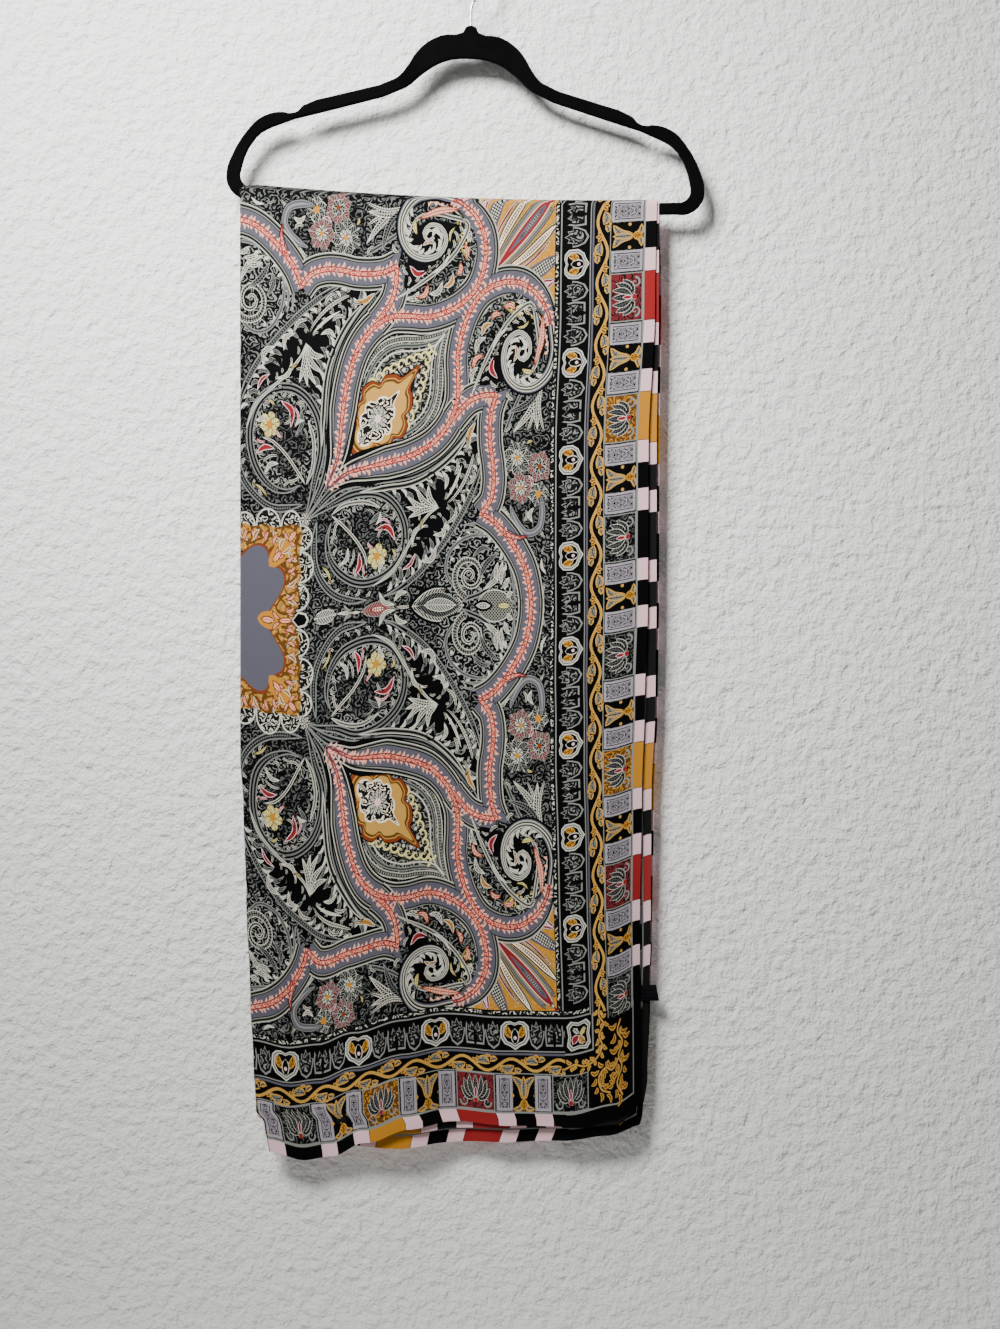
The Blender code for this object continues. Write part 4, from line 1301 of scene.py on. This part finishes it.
def make_quarter(name, across, side, figured, material):
    """One hanging layer: its print triangulated, hung, and given a wrong side."""
    art = draw_sheet(outline_of(across, side), across, side, figured, False)
    spots = mesh_points(across, side)
    flat, triangles, items, _ = triangulate(art, spots, SNAP)
    loop, owners = edge_loop(triangles)
    inner = [
        (a, b) for a, b in spots if HALF_WIDTH - abs(a) > RIM_CLEAR and HALF_LENGTH - abs(b) > RIM_CLEAR
    ]
    plain_art = draw_sheet(flat[loop], across, side, figured, True)
    back_flat, back_triangles, back_items, origins = triangulate(plain_art, inner, WRONG_SIDE_SNAP)
    twin = {}
    ring = {origin: index for index, origin in enumerate(plain_art.loop_points)}
    for index, sources in enumerate(origins):
        for source in sources:
            if source in ring:
                twin[loop[ring[source]]] = index
    count = len(flat)

    paints = paint(art, flat, triangles, items)
    back_paints = paint(plain_art, back_flat, back_triangles, back_items)
    back_paints[1][:, 2] = 1.0
    everywhere = np.concatenate([flat, back_flat])
    place, normal = sheet_point(*everywhere.T), sheet_normal(*everywhere.T)
    to_edge = np.minimum(HALF_WIDTH - np.abs(everywhere[:, 0]), HALF_LENGTH - np.abs(everywhere[:, 1]))
    thickness = SHELL + HEM_EXTRA * (1.0 - smooth(HEM_WIDE - HEM_EASE, HEM_WIDE, to_edge))
    normal[count:] *= -1.0
    points = place + normal * (thickness / 2)[:, None]

    rim = []
    for start, end in zip(loop, loop[1:] + loop[:1]):
        rim += [(end, start, count + twin[start]), (end, count + twin[start], count + twin[end])]
    rim = np.array(rim)
    all_faces = np.concatenate([triangles, back_triangles[:, ::-1] + count, rim])
    first = triangles[0]
    face_way = np.cross(points[first[1]] - points[first[0]], points[first[2]] - points[first[0]])
    if np.dot(face_way, normal[first[0]]) < 0:
        all_faces = all_faces[:, ::-1]
        turn = [2, 1, 0]
    else:
        turn = [0, 1, 2]
    total = len(all_faces)
    rim_items = np.repeat(items[owners], 2)
    rim_paints = paint(art, flat, np.where(rim < count, rim, rim[:, :1]), rim_items)

    mesh = bpy.data.meshes.new(name)
    mesh.vertices.add(len(points))
    mesh.vertices.foreach_set("co", points.ravel())
    mesh.loops.add(3 * total)
    mesh.loops.foreach_set("vertex_index", all_faces.ravel())
    mesh.polygons.add(total)
    mesh.polygons.foreach_set("loop_start", np.arange(0, 3 * total, 3))
    mesh.update(calc_edges=True)
    parts = []
    for ahead, behind, edge in zip(paints, back_paints, rim_paints):
        wide = ahead.shape[1]
        behind = behind.reshape(-1, 3, wide)[:, ::-1]
        whole = np.concatenate([ahead.reshape(-1, 3, wide), behind, edge.reshape(-1, 3, wide)])
        parts.append(whole[:, turn].reshape(-1, wide))
    for label, values in zip(("motif", "kind"), parts[:2]):
        mesh.attributes.new(label, "FLOAT_VECTOR", "CORNER").data.foreach_set("vector", values.ravel())
    for label, values in zip(("ground", "ink", "line"), parts[2:]):
        mesh.attributes.new(label, "FLOAT_COLOR", "CORNER").data.foreach_set("color", values.ravel())
    uv = np.abs(everywhere - (FOLD_AT, 0.0)) / (UV_WIDE, UV_LONG)
    mesh.uv_layers.new(name="OFBake").data.foreach_set("uv", uv[all_faces.ravel()].ravel())
    mesh.shade_smooth()
    normals = normal[all_faces.ravel()]
    corner = points[all_faces[-len(rim):]]
    rim_way = np.cross(corner[:, 1] - corner[:, 0], corner[:, 2] - corner[:, 0])
    rim_way /= np.maximum(np.linalg.norm(rim_way, axis=1, keepdims=True), 1e-12)
    normals[-3 * len(rim):] = np.repeat(rim_way, 3, axis=0)
    mesh.normals_split_custom_set(normals)
    mesh.materials.append(material)
    piece = put(name, mesh)
    print(name, len(art.items), "shapes", len(art.points), "points", total, "triangles")
    return piece


# ---- materials -----------------------------------------------------------------
SCROLL_CELLS = 0.108        # cells of scrollwork in a millimetre
KIND_REACH = 0.3            # how near a value must be to a kind's number


def feed(tree, slot, value):
    """Links a wire to a slot, or writes a plain value there."""
    if isinstance(value, Wire):
        tree.links.new(value.socket, slot)
    else:
        slot.default_value = value


class Wire:
    """A shader socket that takes part in arithmetic."""

    def __init__(self, tree, socket):
        self.tree, self.socket = tree, socket

    def math(self, operation, *others):
        node = self.tree.nodes.new("ShaderNodeMath")
        node.operation = operation
        for slot, value in zip(node.inputs, (self, *others)):
            feed(self.tree, slot, value)
        return Wire(self.tree, node.outputs[0])

    def __add__(self, other):
        return self.math("ADD", other)

    def __sub__(self, other):
        return self.math("SUBTRACT", other)

    def __mul__(self, other):
        return self.math("MULTIPLY", other)

    def __truediv__(self, other):
        return self.math("DIVIDE", other)

    def under(self, limit):
        return self.math("LESS_THAN", limit)

    def over(self, limit):
        return self.math("GREATER_THAN", limit)

    def within(self, middle, reach):
        """1 where the value is this near to the middle."""
        return self.math("COMPARE", middle, reach)

    def wave(self, period):
        """0 to 1 and back once in each period."""
        return (self / period).math("PINGPONG", 0.5) * 2.0

    def most(self, other):
        return self.math("MAXIMUM", other)


class Shader:
    """A material's node tree, with short names for the nodes in use here."""

    def __init__(self, name, roughness, **sockets):
        self.material = bpy.data.materials.new(name)
        self.material.use_nodes = True
        self.tree = self.material.node_tree
        self.surface = self.tree.nodes["Principled BSDF"]
        self.set(roughness=roughness, **sockets)

    def set(self, **values):
        for key, value in values.items():
            slot = self.surface.inputs[key.replace("_", " ").title().replace("Ior", "IOR")]
            feed(self.tree, slot, value)

    def attribute(self, name, output="Vector"):
        node = self.tree.nodes.new("ShaderNodeAttribute")
        node.attribute_name = name
        return Wire(self.tree, node.outputs[output])

    def split(self, vector):
        node = self.tree.nodes.new("ShaderNodeSeparateXYZ")
        self.tree.links.new(vector.socket, node.inputs[0])
        return [Wire(self.tree, out) for out in node.outputs]

    def join(self, *parts):
        node = self.tree.nodes.new("ShaderNodeCombineXYZ")
        for slot, value in zip(node.inputs, parts):
            feed(self.tree, slot, value)
        return Wire(self.tree, node.outputs[0])

    def place(self):
        node = self.tree.nodes.new("ShaderNodeTexCoord")
        return Wire(self.tree, node.outputs["Object"])

    def noise(self, vector, scale, detail=0.0, distortion=0.0):
        node = self.tree.nodes.new("ShaderNodeTexNoise")
        self.tree.links.new(vector.socket, node.inputs["Vector"])
        for key, value in (("Scale", scale), ("Detail", detail), ("Distortion", distortion)):
            node.inputs[key].default_value = value
        return Wire(self.tree, node.outputs["Fac"])

    def cells(self, vector, scale, output="Distance", feature="F1"):
        node = self.tree.nodes.new("ShaderNodeTexVoronoi")
        node.voronoi_dimensions = "2D"
        node.feature = feature
        self.tree.links.new(vector.socket, node.inputs["Vector"])
        node.inputs["Scale"].default_value = scale
        return Wire(self.tree, node.outputs[output])

    def mix(self, share, first, second):
        node = self.tree.nodes.new("ShaderNodeMix")
        node.data_type = "RGBA"
        for slot, value in ((node.inputs[0], share), (node.inputs[6], first), (node.inputs[7], second)):
            feed(self.tree, slot, value)
        return Wire(self.tree, node.outputs[2])

    def bump(self, height, strength, distance):
        node = self.tree.nodes.new("ShaderNodeBump")
        self.tree.links.new(height.socket, node.inputs["Height"])
        node.inputs["Strength"].default_value = strength
        node.inputs["Distance"].default_value = distance
        self.tree.links.new(node.outputs[0], self.surface.inputs["Normal"])


def printed_cloth():
    """Fine dull satin, with each shape's own drawing worked out along it."""
    cloth = Shader("printed_cloth", 0.62, specular_ior_level=0.03)
    u, v, w = cloth.split(cloth.attribute("motif"))
    kind, edge, wrong = cloth.split(cloth.attribute("kind"))
    ground, ink, line = (cloth.attribute(name, "Color") for name in ("ground", "ink", "line"))
    flat = cloth.tree.nodes.new("ShaderNodeUVMap")
    flat.uv_map = "OFBake"
    fu, fv, _ = cloth.split(Wire(cloth.tree, flat.outputs[0]))
    fu, fv = fu * UV_WIDE, fv * UV_LONG
    sheet = cloth.join(fu, fv, 0.0)
    off = v.math("ABSOLUTE") * w        # from the shape's middle line
    rim = w - off                       # from its edge
    inside_band = w.under(WIDEST_BAND)

    # scrollwork: a small spiral in every cell of a broken-up grid
    bent = cloth.join(
        fu + (cloth.noise(sheet, 0.16, 1.0) - 0.5) * 9.0,
        fv + (cloth.noise(cloth.join(fv, fu, 7.0), 0.16, 1.0) - 0.5) * 9.0,
        0.0,
    )
    cell_x, cell_y, _ = cloth.split(cloth.cells(bent, SCROLL_CELLS, "Position"))
    bent_x, bent_y, _ = cloth.split(bent)
    away_x, away_y = bent_x - cell_x, bent_y - cell_y
    reach = (away_x * away_x + away_y * away_y).math("SQRT")
    chance, chance_two, _ = cloth.split(cloth.cells(bent, SCROLL_CELLS, "Color"))
    turned = away_y.math("ARCTAN2", away_x) / math.tau * (chance.over(0.5) * 2.0 - 1.0)
    spiral = (turned + reach / 3.4 + chance_two).math("FRACT").under(0.40)
    between = cloth.cells(bent, SCROLL_CELLS, "Distance", "DISTANCE_TO_EDGE")
    scroll = spiral * between.over(0.07)

    spine = off.under(0.8) * u.wave(2.6).over(0.4) * w.over(2.6)
    stripes = (rim + 0.6).wave(2.8).over(0.60).most(spine)
    lively = cloth.noise(cloth.join(u * 1.3, v * w, 0.0), 0.30, 0.0, 1.2)
    flames = (u - off * 1.2 + lively * 7.0).wave(3.3)
    veins = off.under(0.40).most((u - off * 0.9).wave(2.7).under(0.30) * off.over(0.8))
    beads = u.wave(2.5).over(0.40) * off.wave(2.3).over(0.35)
    net = (u + off).wave(3.0).over(0.66).most((u - off).wave(3.0).over(0.66))
    mirrored = cloth.noise(cloth.join(u + 40.0, off, 3.0), 0.26, 0.0, 1.5)
    card = (mirrored * 5.0).wave(1.0).under(0.46) * rim.over(1.6)

    mask = scroll * (kind.within(SCROLL, KIND_REACH) + kind.within(GILT, KIND_REACH))
    for number, drawing in (
        (STRIPES, stripes), (CURLS, flames.over(0.68)), (LEAF, veins * inside_band),
        (BEADS, beads), (NET, net), (CARD, card),
    ):
        mask = mask + drawing * kind.within(number, KIND_REACH)
    colour = cloth.mix(mask, ground, ink)
    dark = flames.under(0.26) * kind.within(CURLS, KIND_REACH)
    dark = dark + between.under(0.15) * kind.within(GILT, KIND_REACH)
    outline = rim.under(edge) * edge.over(0.01) * inside_band
    colour = cloth.mix(dark.most(outline), colour, line)
    dye = cloth.noise(sheet, 0.9, 3.0)
    colour = cloth.mix((dye - 0.35) * 0.22, colour, (0.006, 0.006, 0.006, 1.0))
    colour = cloth.mix(wrong * 0.03, colour, (0.20, 0.19, 0.18, 1.0))
    cloth.set(base_color=colour)
    weave = fu.wave(0.42) + fv.wave(0.42)
    cloth.bump(weave * 0.5 + cloth.noise(sheet, 0.25, 2.0) * 0.8, 0.25, 0.00012)
    return cloth.material


def velvet():
    """Flocked plastic: black, with a soft sheen where the nap lies over."""
    nap = Shader("black_velvet", 0.95, specular_ior_level=0.02, sheen_weight=0.05, sheen_roughness=0.35)
    place = nap.place()
    flock = nap.noise(place, 900.0, 2.0)
    worn = nap.noise(place, 40.0, 3.0)
    nap.set(base_color=nap.mix(worn, (0.0008, 0.0008, 0.0009, 1.0), (0.0034, 0.0034, 0.0036, 1.0)))
    nap.bump(flock, 0.5, 0.0003)
    return nap.material


def steel():
    metal = Shader("hook_steel", 0.24, metallic=1.0)
    place = metal.place()
    drawn = metal.noise(place, 220.0, 3.0)
    metal.set(base_color=metal.mix(drawn, (0.52, 0.53, 0.55, 1.0), (0.68, 0.69, 0.70, 1.0)))
    metal.set(roughness=drawn * 0.18 + 0.16)
    metal.bump(drawn, 0.15, 0.00005)
    return metal.material


RIB_PITCH = 0.00055


def satin():
    ribbon = Shader("black_satin", 0.6, specular_ior_level=0.04)
    up = ribbon.split(ribbon.place())[2]
    rib = (up / RIB_PITCH).math("SINE")
    low, high = (0.002, 0.002, 0.003, 1.0), (0.005, 0.005, 0.006, 1.0)
    ribbon.set(base_color=ribbon.mix(rib * 0.5 + 0.5, low, high))
    ribbon.bump(rib + ribbon.noise(ribbon.place(), 300.0, 2.0), 0.3, 0.00008)
    return ribbon.material


# ---- small pieces --------------------------------------------------------------
def put(name, data):
    """A new object in the scene."""
    item = bpy.data.objects.new(name, data)
    bpy.context.scene.collection.objects.link(item)
    return item


def hang_at(x, depth):
    return float(hang(np.array([x]), np.array([depth]))[0])


def add_piece(name, points, faces, material):
    mesh = bpy.data.meshes.new(name)
    mesh.from_pydata([tuple(p) for p in points], [], faces)
    mesh.shade_smooth()
    mesh.materials.append(material)
    piece = put(name, mesh)
    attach(piece, "root")
    return piece


TAB_HALF_GAP, TAB_CURL = 0.00022, 0.0012
THREAD_RADIUS, THREAD_SIDES = 0.00022, 5
THREADS_X, THREADS_DEPTH, THREADS_BEHIND = 0.1465, 1.0885, 0.003


def make_label_tab(material):
    """A blank satin tab folded double, its cut end hidden between the layers."""
    behind = FALL_INNER + FALL_PITCH - CLOTH - GAP
    columns, lines = 16, 8
    points, faces = [], []
    for leaf_side in (-1.0, 1.0):
        for row in range(lines + 1):
            depth = TAB_TOP_DEPTH + TAB_WIDE * row / lines
            tip = TAB_TIP + TAB_SKEW * (depth - TAB_TOP_DEPTH)
            for column in range(columns + 1):
                share = column / columns
                x = TAB_ROOT + (tip - TAB_ROOT) * share
                apart = TAB_HALF_GAP * math.sqrt(max(0.0, 1.0 - share**6))
                curl = TAB_CURL * share**2 * math.sin(row / lines * math.pi)
                y = hang_at(x, depth) - behind + leaf_side * apart - curl
                points.append((x, y, -depth))
    size = (columns + 1) * (lines + 1)
    for sheet in range(2):
        for row in range(lines):
            for column in range(columns):
                corner = sheet * size + row * (columns + 1) + column
                quad = (corner, corner + columns + 1, corner + columns + 2, corner + 1)
                faces.append(quad if sheet == 0 else quad[::-1])
    ring = [row * (columns + 1) for row in range(lines + 1)]
    top = list(range(columns + 1))
    far, bottom = [r + columns for r in ring], [lines * (columns + 1) + c for c in top[::-1]]
    for edge in (top, far, bottom, ring[::-1]):
        for one, two in zip(edge, edge[1:]):
            faces.append((one, two, two + size, one + size))
    piece = add_piece("label_tab_satin", points, faces, material)
    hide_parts("label_tab")


def make_threads(material):
    """Loose threads at the corner of the back layers."""
    lines = (
        # x and depth from the corner, mm
        ((0, 0), (3.0, 1.5), (6.5, 1.0), (9.5, 3.5)),
        ((0, 1), (2.0, 4.0), (5.5, 5.5), (7.0, 9.0)),
        ((-1, 2), (1.5, 5.5), (2.0, 9.5)),
    )
    middle_y = hang_at(THREADS_X, THREADS_DEPTH) + THREADS_BEHIND
    points, faces = [], []
    count = THREAD_SIDES
    for line in lines:
        path = spline(line, 0.8) * MM
        first = len(points)
        for x, down in path:
            for turn in range(count):
                angle = math.tau * turn / count
                y = middle_y + THREAD_RADIUS * math.sin(angle)
                points.append((THREADS_X + x + THREAD_RADIUS * math.cos(angle), y, -(THREADS_DEPTH + down)))
        for index in range(len(path) - 1):
            low = first + index * count
            for turn in range(count):
                after = (turn + 1) % count
                faces.append((low + turn, low + after, low + count + after, low + count + turn))
        faces.append(tuple(first + t for t in range(count)))
        faces.append(tuple(len(points) - count + t for t in range(count - 1, -1, -1)))
    add_piece("hem_threads", points, faces, material)


# ---- stage, lights, camera -----------------------------------------------------
IMAGE_TALL = 1329
PHOTO_SCALE = 0.927 * MM            # metres in one pixel of the photograph, at the cloth
CAMERA_X = 0.0269
CAMERA_DEPTH = 0.6617
CLOTH_FACE_Y = -0.005
LENS, SENSOR = 50.0, 36.0
WALL_Y = 0.0235
FLOOR_DEPTH = 1.46
WALL_HALF, WALL_TOP, FLOOR_HALF = 3, 2, 5
WALL_LUMPS = 0.0048


def make_stage():
    wall = Shader("pale_wall", 0.85, specular_ior_level=0.2)
    place = wall.place()
    lumps = wall.noise(place, 110.0, 2.0, 0.1)
    grain = wall.noise(place, 420.0, 2.0)
    darker, lighter = (0.76, 0.765, 0.75, 1.0), (0.82, 0.825, 0.81, 1.0)
    wall.set(base_color=wall.mix(wall.noise(place, 3.0, 2.0), darker, lighter))
    wall.bump(lumps + grain * 0.25, 1.0, WALL_LUMPS)
    # the wall has a front only, so that light and views from behind pass it
    seen = wall.tree.nodes.new("ShaderNodeNewGeometry")
    clear = wall.tree.nodes.new("ShaderNodeBsdfTransparent")
    either = wall.tree.nodes.new("ShaderNodeMixShader")
    output = wall.tree.nodes["Material Output"]
    wall.tree.links.new(seen.outputs["Backfacing"], either.inputs[0])
    wall.tree.links.new(wall.surface.outputs[0], either.inputs[1])
    wall.tree.links.new(clear.outputs[0], either.inputs[2])
    wall.tree.links.new(either.outputs[0], output.inputs["Surface"])
    floor = Shader("pale_floor", 0.8, specular_ior_level=0.2)
    darker, lighter = (0.60, 0.59, 0.58, 1.0), (0.66, 0.65, 0.64, 1.0)
    floor.set(base_color=floor.mix(floor.noise(floor.place(), 2.0, 2.0), darker, lighter))
    around = ((-1, -1), (1, -1), (1, 1), (-1, 1))
    standing = [(x * WALL_HALF, WALL_Y, WALL_TOP if up > 0 else -FLOOR_DEPTH) for x, up in around]
    lying = [(x * FLOOR_HALF, y * FLOOR_HALF, -FLOOR_DEPTH) for x, y in around]
    for name, corners, material in (
        ("backdrop", standing, wall.material),
        ("floor", lying, floor.material),
    ):
        mesh = bpy.data.meshes.new(name)
        mesh.from_pydata(corners, [], [(0, 1, 2, 3)])
        mesh.materials.append(material)
        item = put(name, mesh)
        item.visible_shadow = name == "floor"       # the rear lights shine through the wall


def add_light(name, place, target, size, power, spread, colour=(1.0, 1.0, 1.0)):
    data = bpy.data.lights.new(name, "AREA")
    data.shape = "RECTANGLE"
    data.size, data.size_y = size
    data.energy = power
    data.spread = math.radians(spread)
    data.color = colour
    item = put(name, data)
    item.location = place
    item.rotation_euler = (Vector(target) - Vector(place)).to_track_quat("-Z", "Y").to_euler()


def make_lights():
    middle = (CAMERA_X, 0.0, -CAMERA_DEPTH)
    add_light("key", (-0.72, -1.25, 0.66), (-0.13, 0.0, -0.26), (0.7, 0.6), 20.5, 75.0, (1.0, 0.995, 0.985))
    add_light("fill", (-1.2, -2.6, -0.4), middle, (2.2, 2.2), 6.0, 180.0, (0.98, 0.99, 1.0))
    add_light("rear_key", (0.7, 2.2, 0.0), middle, (1.4, 1.2), 14.0, 70.0)
    add_light("rear_fill", (-1.4, 2.0, -0.5), middle, (1.6, 1.6), 8.0, 70.0)
    world = bpy.data.worlds.new("studio")
    world.use_nodes = True
    world.node_tree.nodes["Background"].inputs["Color"].default_value = (0.93, 0.95, 1.0, 1.0)
    world.node_tree.nodes["Background"].inputs["Strength"].default_value = 0.07
    bpy.context.scene.world = world


def make_camera():
    data = bpy.data.cameras.new("camera")
    data.lens = LENS
    data.sensor_width = SENSOR
    distance = IMAGE_TALL * PHOTO_SCALE * LENS / SENSOR
    item = put("camera", data)
    item.location = (CAMERA_X, CLOTH_FACE_Y - distance, -CAMERA_DEPTH)
    item.rotation_euler = (math.pi / 2, 0.0, 0.0)
    bpy.context.scene.camera = item


# ---- everything ----------------------------------------------------------------
def dress(node, material):
    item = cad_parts[node]
    for slot in item.material_slots:
        slot.material = material


def main():
    make_camera()
    make_lights()
    make_stage()
    dress("hanger_body", velvet())
    dress("hanger_hook", steel())
    cloth = printed_cloth()
    for name, across, side, figured, nodes in (
        ("shawl_front_outer", 1, 1, True, ("shawl_front_fall", "shawl_over_bar")),
        ("shawl_front_inner", -1, 1, False, ("shawl_front_fall", "shawl_over_bar")),
        ("shawl_back_inner", -1, -1, False, ("shawl_back_fall", "shawl_over_bar")),
        ("shawl_back_outer", 1, -1, True, ("shawl_back_fall", "shawl_over_bar")),
    ):
        piece = make_quarter(name, across, side, figured, cloth)
        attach(piece, "root")
        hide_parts(*nodes)
    make_label_tab(satin())
    make_threads(cloth)


main()
